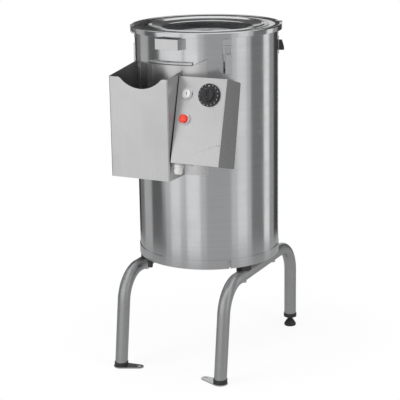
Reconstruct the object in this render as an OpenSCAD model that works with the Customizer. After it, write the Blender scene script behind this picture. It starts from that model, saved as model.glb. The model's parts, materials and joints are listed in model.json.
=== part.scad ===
// Electric potato peeler on three tubular legs, with a lift-off lid, a discharge chute with a
// lifting gate, and a leaning control box.
// Millimetres. Front is -Y, right is +X, up is +Z. The origin is on the floor, under the drum's axis.
// Azimuths are measured round the drum's axis from the front, positive towards the right.

/* [Drum] */
// Outside radius of the drum shell
drum_r = 180; // [172:1:190]
// Thickness of the drum sheet
drum_t = 1.5; // [1:0.1:2.5]
// Height of the drum shell above the base plate
drum_h = 546; // [530:1:600]
// Height of the loose collar on top of the shell
collar_h = 25; // [22:1:35]
// Depth that the collar's inner sleeve reaches down into the shell
sleeve_h = 16; // [8:1:24]
// Thickness of the collar's inner sleeve
sleeve_t = 1.7; // [1:0.1:3]
// Height of the clamp band round the drum's foot
ring_h = 23; // [18:1:32]
// Distance that the clamp band hangs below the base plate
ring_drop = 3; // [0:0.5:6]
// Thickness of the clamp band
ring_t = 1.5; // [1:0.1:2.5]
// Azimuth of the clamp band's split
ring_split_az = 42; // [38:1:48]
// Width of the split
ring_split_w = 3; // [1:0.5:6]

/* [Stand] */
// Height of the centre line of the level tubes
tube_z = 240; // [200:1:300]
// Outside radius of the leg tube
tube_r = 16; // [12:0.5:18]
// Wall of the leg tube
tube_t = 2; // [1.5:0.1:3]
// Distance of each leg frame from the middle, left and right
leg_x = 140; // [125:1:150]
// Distance of the bend centres in front of and behind the axis
bend_y = 135; // [125:1:150]
// Radius of the tube's bends along the centre line
bend_r = 80; // [60:1:90]
// Forward lean of the front legs, in degrees
splay = 8; // [4:0.5:12]
// Distance that the left tube runs behind the axis
left_back_y = 100; // [80:1:120]
// Height of the plastic leg caps
cap_h = 10; // [6:0.5:16]
// Wall of the leg caps
cap_t = 1.5; // [1:0.1:2.5]
// Thickness of the floor of the leg caps
cap_floor = 2; // [1:0.1:4]
// Thickness of the steel floor tabs
tab_t = 3; // [2:0.5:5]
// Length of the floor tabs from the leg's axis to the hole
tab_len = 46; // [36:1:60]
// Radius of the wide end of the tabs
tab_r1 = 19; // [15:0.5:22]
// Radius of the narrow end of the tabs
tab_r2 = 11; // [8:0.5:13]
// Radius of the floor bolt holes
tab_hole_r = 4.5; // [3:0.1:5.5]
// Radius of the levelling foot's pad
foot_r = 16; // [12:0.5:22]
// Height of the levelling foot's pad
foot_h = 18; // [12:0.5:22]
// Stud that shows between the pad and the cap
foot_gap = 8; // [2:0.5:14]
// Radius of the levelling stud
stud_r = 5; // [3:0.5:6]
// Length of the levelling stud above the pad
stud_len = 52; // [40:1:70]
// Height of the rubber pads under the base plate
pad_h = 12; // [8:0.5:20]
// Length of the pads along the tube
pad_len = 34; // [26:1:44]
// Width of the pads across the tube
pad_w = 26; // [22:1:31]
// Distance of the stand bolts from the middle, front and back
stand_bolt_y = 92; // [70:1:96]
// Radius of the stand bolts
stand_bolt_r = 4; // [3:0.5:5]

/* [Base and drive] */
// Thickness of the base plate
plate_t = 2; // [1.5:0.5:4]
// Height of the posts that carry the deck
post_h = 75; // [68:1:90]
// Radius of the posts
post_r = 8; // [6:0.5:10]
// Distance of the posts from the shell's outside
post_inset = 14; // [12:0.5:18]
// Azimuth of the first post
post_az = 34.4; // [30:0.2:38]
// Radius of the base bolts' shanks
base_bolt_r = 4; // [3:0.5:5]
// Thickness of the deck plate
deck_t = 2; // [1.5:0.5:4]
// Height of the bearing housing
housing_h = 123; // [118:1:140]
// Outside radius of the bearing housing
housing_r = 40; // [34:0.5:44]
// Radius of the main shaft
shaft_r = 12.5; // [10:0.5:15]
// Outside radius of the bearings
bearing_r = 26; // [22:0.5:30]
// Width of the bearings
bearing_w = 15; // [10:0.5:18]
// Radius of the big pulley's face
pulley_r = 75; // [60:1:85]
// Radius of the motor pulley's face
small_pulley_r = 22; // [18:0.5:30]
// Height of the pulleys' rims above their faces
rim_h = 4; // [2.5:0.5:6]
// Width of the belt
belt_w = 18; // [12:1:22]
// Thickness of the belt
belt_t = 3; // [2:0.5:4]
// Height of the middle of the belt above the base plate
belt_z = 45; // [40:1:50]
// Radius of the motor's casing
motor_r = 58; // [50:1:62]
// Height of the motor's casing
motor_h = 110; // [90:1:120]
// Gap between the motor and the drum's outside
motor_wall_gap = 10; // [6:0.5:16]
// Azimuth of the motor
motor_az = 45; // [0:1:70]
// Radius of the motor's shaft
motor_shaft_r = 9.5; // [7:0.5:12]
// Radial running clearance of shafts and pins in their bores
fit = 0.05; // [0.02:0.01:0.1]

/* [Chamber] */
// Thickness of the chamber floor
floor_t = 2; // [1.5:0.5:3]
// Height of the chamber floor's turned-up rim
floor_rim_h = 16; // [8:1:22]
// Height of the disc's underside above the chamber floor
disc_lift = 48; // [40:1:56]
// Thickness of the abrasive disc
disc_t = 8; // [6:0.5:12]
// Gap between the disc's edge and the shell's outside
disc_gap = 15; // [10:0.5:20]
// Radius of the waves on top of the disc
wave_r = 11; // [9:0.5:14]
// Thickness of the abrasive liner
liner_t = 1.5; // [1:0.1:2]
// Height of the abrasive liner
liner_h = 215; // [150:1:225]
// Radius of the drain spigot
spigot_r = 25; // [18:0.5:26]
// Wall of the drain spigot
spigot_t = 2; // [1.5:0.1:3]
// Radius of the water inlet's thread
inlet_r = 13.2; // [10:0.1:14]
// Radius of the water inlet's bore
inlet_bore_r = 8; // [5:0.1:9]
// Distance of the water inlet left of the axis
inlet_x = 80; // [60:1:100]
// Height of the water inlet below the collar
inlet_drop = 46; // [36:1:54]
// Distance that the water inlet reaches behind the axis
inlet_back = 206; // [196:1:230]

/* [Lid] */
// Outside radius of the lid's rim beyond the drum
lid_over = 10; // [7:0.5:14]
// Height of the lid's skirt
skirt_h = 14; // [10:0.5:20]
// Thickness of the lid's sheet
lid_t = 1.5; // [1:0.1:2.5]
// Distance of the lid's window opening inside the drum's outside
window_inset = 37; // [25:1:70]
// Thickness of the clear window
window_t = 3; // [2:0.5:4]
// Depth of the window's bowl
window_depth = 26; // [12:1:34]
// Width of the band of the window clamped under the rim
window_band = 14; // [8:0.5:16]
// Depth of the turned-down edge inside the rim
bead_h = 4; // [0:0.5:6]
// Width of the spring clips
clip_w = 14; // [8:0.5:20]
// Thickness of the spring clips
clip_t = 1.2; // [0.8:0.1:2]
// Azimuth of the first spring clip
clip_az = -58; // [-66:1:-46]

/* [Latches] */
// Azimuths of the three toggle latches
latch_az_1 = 41.7; // [36:0.1:48]
latch_az_2 = -79; // [-84:0.5:-72]
latch_az_3 = 161; // [150:0.5:168]
// Height of the lever's pin below the collar's lower edge
latch_drop = 16; // [13:0.5:22]
// Distance from the lever's pin down to the bail's pin
latch_arm = 12; // [8:0.5:14]
// Length of the lever below its pin
lever_len = 45; // [30:1:60]
// Half the width of the lever
lever_half_w = 8.4; // [7:0.2:9]
// Radius of the bail's wire
wire_r = 1.2; // [0.8:0.1:1.5]
// Radius of the lever's pin
latch_pin_r = 1.5; // [1:0.1:2]

/* [Chute] */
// Distance that the chute's front stands out from the drum
chute_reach = 81; // [70:1:100]
// Left face of the chute
chute_left = 136; // [124:1:150]
// Right face of the chute at its front
chute_right = 23; // [18:0.5:23]
// Extra distance of the right face where it meets the drum
chute_flare = 2; // [0:0.5:2]
// Height of the chute's lower edge above the base plate
chute_low = 238; // [200:1:245]
// Height of the chute's front above its lower edge
chute_h = 246; // [200:1:260]
// Thickness of the chute's sheet
chute_t = 1.5; // [1:0.1:2]
// Radius of the chute's folded front corners
chute_fold = 4; // [3:0.5:8]
// Rise of the left side's top edge towards the drum
left_rise = 18; // [0:1:24]
// Rise of the right side's top edge towards the drum
right_rise = 12; // [0:1:20]
// Rise of the right flange's top edge along the drum
flange_rise = 25; // [10:1:28]
// Width of the notch in the front's top edge
notch_w = 114; // [80:1:120]
// Depth of the notch
notch_d = 26; // [12:1:34]
// Radius of the notch's rounded shoulders
notch_shoulder_r = 10; // [4:1:14]
// Distance of the notch's middle left of the axis
notch_x = 50; // [46:1:56]
// Azimuth of the right flange's edge
flange_az = 26; // [24:0.5:28]

/* [Gate] */
// Height of the discharge opening in the drum
window_h = 58; // [40:1:60]
// Height of the opening's lower edge above the base plate
window_low = 264; // [262:1:268]
// Azimuth of the opening's left edge
window_az_1 = -19; // [-20:0.5:-14]
// Azimuth of the opening's right edge
window_az_2 = 7; // [3:0.5:7.5]
// Azimuth of the gate's left edge
gate_az_1 = -21.5; // [-22:0.5:-20.5]
// Azimuth of the gate's right edge
gate_az_2 = 16.5; // [14:0.5:17]
// Thickness of the gate
gate_t = 1.5; // [1:0.1:2]
// Height of the gate
gate_h = 128; // [110:1:130]
// Lift of the gate
gate_lift = 55; // [20:1:56]
// Running gap in front of and behind the gate
gate_gap = 0.4; // [0.3:0.05:0.6]
// Thickness of the splash plate
splash_t = 1.5; // [1:0.1:2]
// Height of the splash plate's lower edge above the base plate
splash_low = 400; // [394:1:420]
// Height of the splash plate
splash_h = 110; // [80:1:114]
// Radius of the splash plate's rolled lip
lip_r = 4; // [2.5:0.5:5]

/* [Control box] */
// Width of the control box
box_w = 126; // [122:1:140]
// Height of the box's panel along its slope
panel_h = 207.4; // [190:0.2:220]
// Backward lean of the panel, in degrees
lean = 15.4; // [12:0.2:18]
// Depth of the box at its top
box_top_d = 79; // [70:1:90]
// Depth of the box at its bottom
box_low_d = 92; // [84:1:98]
// Height of the panel's lower edge above the base plate
box_low = 284.7; // [276:0.1:292]
// Setback of the panel's lower edge behind the chute's front
box_set = 2.6; // [0:0.2:8]
// Thickness of the box's sheet
box_t = 1.5; // [1:0.1:2]
// Thickness of the front panel
panel_t = 2; // [1.5:0.1:3]
// Radius of the box's rounded upper back edge
box_round = 6; // [2:0.5:10]

/* [Controls] */
// Distance of both buttons from the panel's left edge
button_x = 25.5; // [19:0.5:30]
// Distance of the start button below the panel's top
start_drop = 40.6; // [30:0.2:50]
// Distance of the stop button below the panel's top
stop_drop = 100.9; // [86:0.1:120]
// Radius of the buttons' bezels
bezel_r = 15; // [13:0.5:16]
// Height of the bezels above the panel
bezel_h = 3; // [2:0.5:5]
// Radius of the buttons' barrels
barrel_r = 11; // [10.8:0.1:11.5]
// Radius of the button caps
cap_r = 9.8; // [8:0.1:9.8]
// Travel of the start button
start_travel = 3; // [1:0.5:3]
// Travel of the stop button
stop_travel = 4; // [2:0.5:5]
// Distance of the timer knob from the panel's left edge
knob_x = 84.2; // [80:0.2:92]
// Distance of the timer knob below the panel's top
knob_drop = 40.5; // [34:0.5:70]
// Radius of the timer knob
knob_r = 27.5; // [20:0.5:30]
// Height of the timer knob
knob_h = 17; // [10:0.5:24]
// Radius of the timer's shaft
knob_shaft_r = 3; // [2:0.5:4]
// Distance of the panel's screw from its left edge
screw_x = 119.4; // [117:0.2:120]
// Distance of the panel's screw below its top
screw_drop = 155.8; // [120:0.2:180]
// Radius of the cable gland
gland_r = 12; // [10:0.5:13]
// Radius of the gland's cable bore
gland_bore_r = 4.5; // [3:0.1:6]
// Length of the gland below the box
gland_len = 26; // [18:1:32]

/* [Collar handle and lid switch] */
// Distance of the handle's left foot from the axis
handle_left = 49; // [42:1:56]
// Distance of the handle's right foot from the axis
handle_right = 34; // [28:1:42]
// Distance that the handle stands out from the drum
handle_out = 25; // [20:1:34]
// Thickness of the handle's strip
handle_t = 2; // [1.5:0.1:3]
// Azimuth of the lid switch
switch_az = 116; // [106:1:118]

/* [Hidden] */
$fn = 96;
// Gap between sheets and castings that lie against each other
seat = 0.1;
// Overreach of cuts
cut = 1;
// Step at the joint between a leg's straight part and its bend
joint_step = 0.05;
// Stand
plate_z = tube_z + tube_r + pad_h;
shell_z = plate_z + plate_t;
shell_top = shell_z + drum_h;
collar_z = shell_top + seat;
collar_top = collar_z + collar_h;
drum_in_r = drum_r - drum_t;
bend_z = tube_z - bend_r;
bend_end_y = -bend_y - bend_r * cos(splay);
bend_end_z = bend_z + bend_r * sin(splay);
front_cap_z = tab_t;
front_leg_y = bend_end_y - (bend_end_z - front_cap_z) * tan(splay);
back_leg_y = bend_y + bend_r;
back_cap_z = foot_h + foot_gap;
cap_out_r = tube_r + cap_t;
// Drive
deck_z = shell_z + post_h;
deck_top = deck_z + deck_t;
housing_top = deck_top + housing_h;
floor_z = housing_top + seat;
floor_top = floor_z + floor_t;
disc_z = floor_top + disc_lift;
disc_top = disc_z + disc_t;
disc_r = drum_r - disc_gap;
belt_mid_z = shell_z + belt_z;
pulley_low = belt_mid_z - belt_w / 2 - rim_h;
pulley_high = belt_mid_z + belt_w / 2 + rim_h;
shaft_low = pulley_low - 7;
nut_h = 12;
shaft_high = disc_top + nut_h - 3;
post_ring_r = drum_r - post_inset;
post_azimuths = [post_az, post_az + 120, post_az + 240];
motor_dist = drum_r - motor_r - motor_wall_gap;
motor_pos = [motor_dist * sin(motor_az), -motor_dist * cos(motor_az), 0];
seal_r = shaft_r + 8;
liner_z = shell_z + window_low - 3;
spigot_z = floor_top + spigot_r + 2;
spigot_neck_r = spigot_r - 0.5;
inlet_z = shell_top - inlet_drop;
// Lid
skirt_r = drum_r + lid_over;
window_r = drum_r - window_inset;
lid_top = collar_top + skirt_h;
lid_low = lid_top - lid_t;
// Latches
latch_azimuths = [latch_az_1, latch_az_2, latch_az_3];
lever_pin_z = shell_top - latch_drop;
lever_pin_o = drum_r + 6.5;
lever_face_o = drum_r + 9.8;
bail_pin_z = lever_pin_z - latch_arm;
bail_o = drum_r + 6;
ledge_z = shell_top + 1.5;
ledge_h = 3;
bail_bar_z = ledge_z + ledge_h + wire_r + seat;
bail_half_w = lever_half_w + 0.2 + wire_r;
cheek_t = 1.2;
cheek_in = lever_half_w - cheek_t;
ear_t = 1.5;
ear_out = cheek_in - 0.3;
ear_r = 3.1;
strike_t = 1.8;
// Chute
front_y = -(drum_r + chute_reach);
back_y = -front_y;
chute_z = shell_z + chute_low;
chute_top = chute_z + chute_h;
right_back = chute_right + chute_flare;
side_az_1 = -asin(chute_left / drum_r);
side_az_2 = asin(right_back / drum_r);
side_back_y_1 = -sqrt(pow(drum_r, 2) - pow(chute_left, 2));
side_back_y_2 = -sqrt(pow(drum_r, 2) - pow(right_back, 2));
// Gate, from the drum outwards: gap, gate, gap, splash plate, seat, flange
gate_r = drum_r + gate_gap;
splash_r = gate_r + gate_t + gate_gap;
cover_r = splash_r + splash_t + seat;
splash_z = shell_z + splash_low;
lip_z = splash_z + splash_h;
gate_z = shell_z + window_low - 3;
opening_z = shell_z + window_low;
// Control box
box_left = right_back + 0.4;
box_y = front_y + box_set;
box_z = shell_z + box_low;
stud_y = 14;
shell_y = panel_t;

// Colours of the materials
steel = "silver";
tube_grey = "darkgray";
black = "#202020";
bright = "gainsboro";

// ---- helpers ----

// Turns something built at the front to an azimuth round the drum's axis
module at_az(az) {
    rotate([0, 0, az]) children();
}

// Part of a round wall between two azimuths
module arc_wall(r1, r2, z1, z2, az1, az2) {
    rotate([0, 0, az1 - 90])
        rotate_extrude(angle = az2 - az1)
            translate([r1, z1]) square([r2 - r1, z2 - z1]);
}

// Full round wall
module ring(r1, r2, z1, z2) {
    rotate_extrude() translate([r1, z1]) square([r2 - r1, z2 - z1]);
}

// Upright cylinder between two heights
module post(r, z1, z2) {
    translate([0, 0, z1]) cylinder(r = r, h = z2 - z1);
}

// Cylinder along Y between two distances
module along_y(r, y1, y2) {
    translate([0, y1, 0]) rotate([-90, 0, 0]) cylinder(r = r, h = y2 - y1);
}

// Cylinder along X, centred
module along_x(r, half) {
    rotate([0, 90, 0]) translate([0, 0, -half]) cylinder(r = r, h = 2 * half);
}

// Hexagonal head or nut
module hex(across_r, z1, z2) {
    translate([0, 0, z1]) cylinder(r = across_r, h = z2 - z1, $fn = 6);
}

// ---- stand ----

// Solid rod along the straight, leaning part of a front leg, from a start above its upper end
module front_straight(r, start = 0) {
    translate([0, bend_end_y, bend_end_z]) rotate([180 - splay, 0, 0]) translate([0, 0, -start])
        cylinder(r = r, h = start + (bend_end_z + 2 * tube_r) / cos(splay));
}

// Solid rod along a front leg, its bend and the level stretch up to y_end.
// The straight part is a hair thinner than the bend, and starts inside it.
module front_leg_rod(r, y_end) {
    front_straight(r - joint_step, 1);
    translate([0, -bend_y, bend_z]) rotate([180, -90, 0])
        rotate_extrude(angle = 90 - splay) translate([bend_r, 0]) circle(r);
    translate([0, 0, tube_z]) along_y(r, -bend_y, y_end);
}

// Solid rod along the whole right bow
module bow_rod(r) {
    front_leg_rod(r, bend_y);
    translate([0, bend_y, bend_z]) rotate([0, -90, 0])
        rotate_extrude(angle = 90) translate([bend_r, 0]) circle(r);
    translate([0, back_leg_y, -tube_r]) cylinder(r = r, h = bend_z + tube_r);
}

// Holes for the stand bolts
module stand_bolt_holes(r, ys) {
    for (y = ys) translate([0, y, 0]) post(r, tube_z - 2 * tube_r, shell_z + cut);
}

right_bolts = [-stand_bolt_y, stand_bolt_y];
left_bolts = [-stand_bolt_y, left_back_y - pad_len];

module right_bow() {
    color(tube_grey) translate([leg_x, 0, 0]) difference() {
        bow_rod(tube_r);
        bow_rod(tube_r - tube_t);
        translate([-50, front_leg_y - 60, -60]) cube([100, 120, 60 + tab_t + cap_floor]);
        translate([-50, back_leg_y - 60, -60]) cube([100, 120, 60 + back_cap_z + cap_floor]);
        stand_bolt_holes(stand_bolt_r + 0.3, right_bolts);
    }
}

module left_leg() {
    color(tube_grey) translate([-leg_x, 0, 0]) difference() {
        front_leg_rod(tube_r, left_back_y);
        front_leg_rod(tube_r - tube_t, left_back_y + cut);
        translate([-50, front_leg_y - 60, -60]) cube([100, 120, 60 + tab_t + cap_floor]);
        stand_bolt_holes(stand_bolt_r + 0.3, left_bolts);
    }
}

// Cap over the foot of a front leg, with a floor under the tube
module front_cap() {
    difference() {
        intersection() {
            front_straight(cap_out_r);
            translate([-50, front_leg_y - 60, front_cap_z]) cube([100, 120, cap_h]);
        }
        intersection() {
            front_straight(tube_r);
            translate([-50, front_leg_y - 60, front_cap_z + cap_floor]) cube([100, 120, cap_h]);
        }
    }
}

module leg_caps() {
    color(black) {
        for (side = [-1, 1]) translate([side * leg_x, 0, 0]) front_cap();
        translate([leg_x, back_leg_y, 0]) difference() {
            union() {
                post(cap_out_r, back_cap_z, back_cap_z + cap_h);
                post(tube_r - tube_t - seat, back_cap_z, back_cap_z + 2 * cap_h);
            }
            ring(tube_r - tube_t - seat, tube_r, back_cap_z + cap_floor, back_cap_z + cap_h + cut);
            post(stud_r + fit, back_cap_z - cut, back_cap_z + 2 * cap_h + cut);
        }
        translate([-leg_x, left_back_y, tube_z]) {
            along_y(tube_r, 0, 3);
            along_y(tube_r - tube_t - seat, -cap_h, 0);
        }
    }
}

// Flat tab from under a front leg's cap towards the middle and a little forward
module floor_tab(side) {
    tip = [-side * tab_len, 12];
    way = atan2(tip[1], tip[0]);
    reach = norm(tip);
    taper = acos((tab_r1 - tab_r2) / reach);
    translate([side * leg_x, front_leg_y, 0]) difference() {
        linear_extrude(tab_t) {
            circle(tab_r1);
            translate(tip) circle(tab_r2);
            rotate(way) polygon([
                tab_r1 * [cos(taper), sin(taper)],
                [reach, 0] + tab_r2 * [cos(taper), sin(taper)],
                [reach, 0] + tab_r2 * [cos(taper), -sin(taper)],
                tab_r1 * [cos(taper), -sin(taper)]
            ]);
        }
        translate([tip[0], tip[1], -cut]) cylinder(r = tab_hole_r, h = tab_t + 2 * cut);
    }
}

module floor_tabs() {
    color(steel) for (side = [-1, 1]) floor_tab(side);
}

module levelling_foot() {
    color(black) translate([leg_x, back_leg_y, 0]) {
        rotate_extrude() polygon([
            [0, 0], [foot_r - 1, 0], [foot_r, 1], [foot_r, foot_h * 0.3],
            [foot_r * 0.8, foot_h * 0.6], [stud_r + 3, foot_h], [0, foot_h]
        ]);
        post(stud_r, foot_h, foot_h + stud_len);
    }
}

// Pad with a saddle that sits on the tube
module stand_pad(y) {
    difference() {
        translate([-pad_w / 2, y - pad_len / 2, tube_z + tube_r * 0.5])
            cube([pad_w, pad_len, plate_z - tube_z - tube_r * 0.5]);
        translate([0, 0, tube_z]) along_y(tube_r + seat, y - pad_len, y + pad_len);
        translate([0, y, 0]) post(stand_bolt_r + 0.3, tube_z, plate_z + cut);
    }
}

module stand_pads() {
    color(black) intersection() {
        union() {
            translate([leg_x, 0, 0]) for (y = right_bolts) stand_pad(y);
            translate([-leg_x, 0, 0]) for (y = left_bolts) stand_pad(y);
            // Tapered buffer block inside the left tube
            at_az(-38) translate([0, -drum_r + 10, plate_z - 28]) rotate([180, 0, 0])
                mirror([0, 0, 1]) cylinder(r1 = 6, r2 = 9, h = 28);
        }
        // The pads end inside the clamp band
        post(drum_r, tube_z - tube_r, plate_z + cut);
    }
}

// Bolt from under the tube, through the pad and the base plate, with its nut
module stand_bolt(x, y) {
    translate([x, y, 0]) {
        hex(stand_bolt_r * 1.8, tube_z - tube_r - 5, tube_z - tube_r);
        post(stand_bolt_r, tube_z - tube_r, shell_z + 8);
        hex(stand_bolt_r * 1.7, shell_z, shell_z + 6);
    }
}

module stand_bolts() {
    color(bright) {
        for (y = right_bolts) stand_bolt(leg_x, y);
        for (y = left_bolts) stand_bolt(-leg_x, y);
    }
}

// ---- base and drive ----

module base_plate() {
    color(steel) difference() {
        post(drum_r, plate_z, shell_z);
        translate([leg_x, 0, 0]) stand_bolt_holes(stand_bolt_r + 0.3, right_bolts);
        translate([-leg_x, 0, 0]) stand_bolt_holes(stand_bolt_r + 0.3, left_bolts);
        for (az = post_azimuths) at_az(az) translate([0, -post_ring_r, 0])
            post(base_bolt_r + 0.3, plate_z - cut, shell_z + cut);
        post(18, plate_z - cut, shell_z + cut);
    }
}

module clamp_band() {
    low = plate_z - ring_drop;
    color(steel) {
        difference() {
            ring(drum_r + seat, drum_r + seat + ring_t, low, low + ring_h);
            at_az(ring_split_az) translate([-ring_split_w / 2, -drum_r - 10, low - cut])
                cube([ring_split_w, 20, ring_h + 2 * cut]);
        }
        // Ears and screw that pull the split together, tucked under the plate's edge
        at_az(ring_split_az) for (side = [-1, 1])
            translate([side * (ring_split_w / 2 + 1) - 1, -drum_r - ring_t - 4, low + ring_h - 12])
                cube([2, 4.5, 9]);
        at_az(ring_split_az) translate([0, -drum_r - ring_t - 2.3, low + ring_h - 7.5])
            along_x(1.4, ring_split_w / 2 + 4);
    }
}

module base_bolts() {
    color(bright) for (az = post_azimuths) at_az(az) translate([0, -post_ring_r, 0]) {
        hex(base_bolt_r * 1.75, plate_z - 6, plate_z);
        post(base_bolt_r, plate_z, shell_z + 20);
    }
}

module deck_posts() {
    color(steel) for (az = post_azimuths) at_az(az) translate([0, -post_ring_r, 0]) difference() {
        post(post_r, shell_z, deck_z);
        post(base_bolt_r + fit, shell_z - cut, shell_z + 22);
    }
}

module deck_plate() {
    color(steel) difference() {
        post(drum_in_r - seat * 2, deck_z, deck_top);
        post(30, deck_z - cut, deck_top + cut);
        translate(motor_pos) post(motor_shaft_r + 5, deck_z - cut, deck_top + cut);
        for (turn = [45:90:315]) translate(motor_pos) rotate([0, 0, turn])
            translate([motor_r - 10, 0, 0]) post(3.3, deck_z - cut, deck_top + cut);
    }
}

module bearing_housing() {
    flange_r = housing_r + 9;
    color(tube_grey) difference() {
        union() {
            post(housing_r, deck_top, housing_top);
            post(flange_r, deck_top, deck_top + 8);
            post(flange_r, housing_top - 8, housing_top);
        }
        post(bearing_r - 4, deck_top - cut, housing_top + cut);
        post(bearing_r + fit, deck_top - cut, deck_top + 3 + bearing_w);
        post(bearing_r + fit, housing_top - 10 - bearing_w, housing_top + cut);
    }
}

module bearings() {
    color(bright) {
        ring(shaft_r + fit, bearing_r, deck_top + 3, deck_top + 3 + bearing_w);
        ring(shaft_r + fit, bearing_r, housing_top - 10 - bearing_w, housing_top - 10);
    }
}

module shaft_seal() {
    color(black) {
        ring(shaft_r + fit, bearing_r, housing_top - 9.9, housing_top);
        ring(shaft_r + fit, seal_r, housing_top, floor_top + 6);
    }
}

module main_shaft() {
    color(bright) post(shaft_r, shaft_low, shaft_high);
}

// Flanged flat pulley with a hub bore
module pulley(face_r, bore_r) {
    rotate_extrude() polygon([
        [bore_r, pulley_low], [face_r + rim_h, pulley_low], [face_r + rim_h, pulley_low + rim_h - 1],
        [face_r, pulley_low + rim_h], [face_r, pulley_high - rim_h],
        [face_r + rim_h, pulley_high - rim_h + 1], [face_r + rim_h, pulley_high], [bore_r, pulley_high]
    ]);
}

module main_pulley() {
    color(tube_grey) pulley(pulley_r, shaft_r);
}

module motor_pulley() {
    color(tube_grey) translate(motor_pos) pulley(small_pulley_r, motor_shaft_r);
}

// Outline of a belt at a distance above both pulleys' faces, seen along the shafts
function belt_loop(above) =
    let(tilt = acos((pulley_r - small_pulley_r) / motor_dist))
    concat(
        [for (i = [0:72]) let(a = tilt + (360 - 2 * tilt) * i / 72)
            (pulley_r + above) * [cos(a), sin(a)]],
        [for (i = [0:24]) let(a = -tilt + 2 * tilt * i / 24)
            [motor_dist, 0] + (small_pulley_r + above) * [cos(a), sin(a)]]
    );

module drive_belt() {
    gap = 0.3;
    width = belt_w - 0.6;
    color(black) translate([0, 0, belt_mid_z - width / 2]) rotate([0, 0, motor_az - 90])
        linear_extrude(width) difference() {
            polygon(belt_loop(gap + belt_t));
            polygon(belt_loop(gap));
        }
}

module drive_motor() {
    color("steelblue") translate(motor_pos) difference() {
        union() {
            post(motor_r, deck_top, deck_top + motor_h);
            post(motor_shaft_r + 4.5, deck_z, deck_top);
        }
        post(motor_shaft_r + fit, deck_z - cut, deck_top + 40);
        for (turn = [45:90:315]) rotate([0, 0, turn]) translate([motor_r - 10, 0, 0])
            post(3 + fit, deck_top - cut, deck_top + 16);
        for (turn = [0:30:330]) rotate([0, 0, turn])
            translate([motor_r - 3, -2, deck_top + 14]) cube([6, 4, motor_h - 28]);
    }
}

module motor_shaft() {
    color(bright) translate(motor_pos) post(motor_shaft_r, pulley_low - 4, deck_top + 39);
}

module motor_bolts() {
    color(bright) translate(motor_pos) for (turn = [45:90:315]) rotate([0, 0, turn])
        translate([motor_r - 10, 0, 0]) {
            hex(5.5, deck_z - 4, deck_z);
            post(3, deck_z, deck_top + 14);
        }
}

// ---- drum and chamber ----

module drum_shell() {
    color(steel) difference() {
        ring(drum_in_r, drum_r, shell_z, shell_top);
        arc_wall(drum_in_r - cut, drum_r + cut, opening_z, opening_z + window_h, window_az_1, window_az_2);
        translate([0, 0, spigot_z]) along_y(spigot_neck_r + seat, 0, drum_r + 10);
        translate([-inlet_x, 0, inlet_z]) along_y(inlet_r + seat, 0, drum_r + 10);
    }
}

module drum_collar() {
    color(steel) rotate_extrude() polygon([
        [drum_r, collar_z], [drum_r, collar_top], [drum_in_r - sleeve_t, collar_top],
        [drum_in_r - sleeve_t, shell_top - sleeve_h], [drum_in_r - 0.2, shell_top - sleeve_h],
        [drum_in_r - 0.2, collar_z]
    ]);
}

// Bent strip that stands out from the collar
module collar_handle() {
    out_y = -drum_r - handle_out;
    top_z = collar_top - 0.5;
    color(steel) difference() {
        translate([0, 0, collar_z - 1]) linear_extrude(top_z - collar_z + 1) difference() {
            polygon([
                [-handle_left - 2, -drum_r * 0.9], [-handle_left + 11, out_y],
                [handle_right - 11, out_y], [handle_right + 2, -drum_r * 0.9]
            ]);
            polygon([
                [-handle_left - 2 + handle_t, -drum_r * 0.9 + cut],
                [-handle_left + 11 + handle_t, out_y + handle_t],
                [handle_right - 11 - handle_t, out_y + handle_t],
                [handle_right + 2 - handle_t, -drum_r * 0.9 + cut]
            ]);
        }
        post(drum_r + seat, collar_z - 2, collar_top + cut);
    }
}

module collar_rivets() {
    color(bright) for (az = latch_azimuths, x = [-5.5, 5.5]) at_az(az)
        translate([x, 0, collar_z + 12.5]) along_y(2.4, -drum_r - strike_t - 1.6, -drum_r - strike_t);
}

module chamber_floor() {
    rim_r = drum_in_r - seat * 2;
    color(steel) difference() {
        union() {
            post(rim_r, floor_z, floor_top);
            ring(rim_r - 1.5, rim_r, floor_z, floor_z + floor_rim_h);
        }
        post(seal_r + seat, floor_z - cut, floor_top + cut);
        translate([0, 0, spigot_z]) along_y(spigot_neck_r + seat * 2, 0, drum_r + 10);
    }
}

module drain_spigot() {
    collar_r = spigot_r + 4;
    color(steel) translate([0, 0, spigot_z]) difference() {
        union() {
            along_y(spigot_neck_r, drum_in_r - 8, drum_r + 5);
            along_y(spigot_r, drum_r + 5, back_y);
            // Welding collar, hollowed to the drum's curve
            difference() {
                along_y(collar_r, drum_in_r - 8, drum_r + 6);
                post(drum_r + seat, -collar_r - cut, collar_r + cut);
            }
        }
        along_y(spigot_r - spigot_t, 0, back_y + cut);
    }
}

module chamber_liner() {
    liner_r = drum_in_r - seat * 2;
    color("dimgray") difference() {
        ring(liner_r - liner_t, liner_r, liner_z, liner_z + liner_h);
        arc_wall(liner_r - 5, drum_r, liner_z - cut, opening_z + window_h + 1,
            window_az_1 - 0.5, window_az_2 + 0.5);
    }
}

module water_inlet() {
    seat_y = sqrt(pow(drum_r, 2) - pow(inlet_x, 2));
    color(bright) translate([-inlet_x, 0, 0]) difference() {
        union() {
            translate([0, 0, inlet_z]) along_y(inlet_r, seat_y - 26, inlet_back);
            difference() {
                translate([0, 0, inlet_z]) along_y(inlet_r + 5, seat_y - 20, seat_y + 14);
                translate([inlet_x, 0, 0]) post(drum_r + seat, inlet_z - 40, inlet_z + 40);
            }
        }
        translate([0, 0, inlet_z]) along_y(inlet_bore_r, 0, inlet_back + cut);
    }
}

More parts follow.
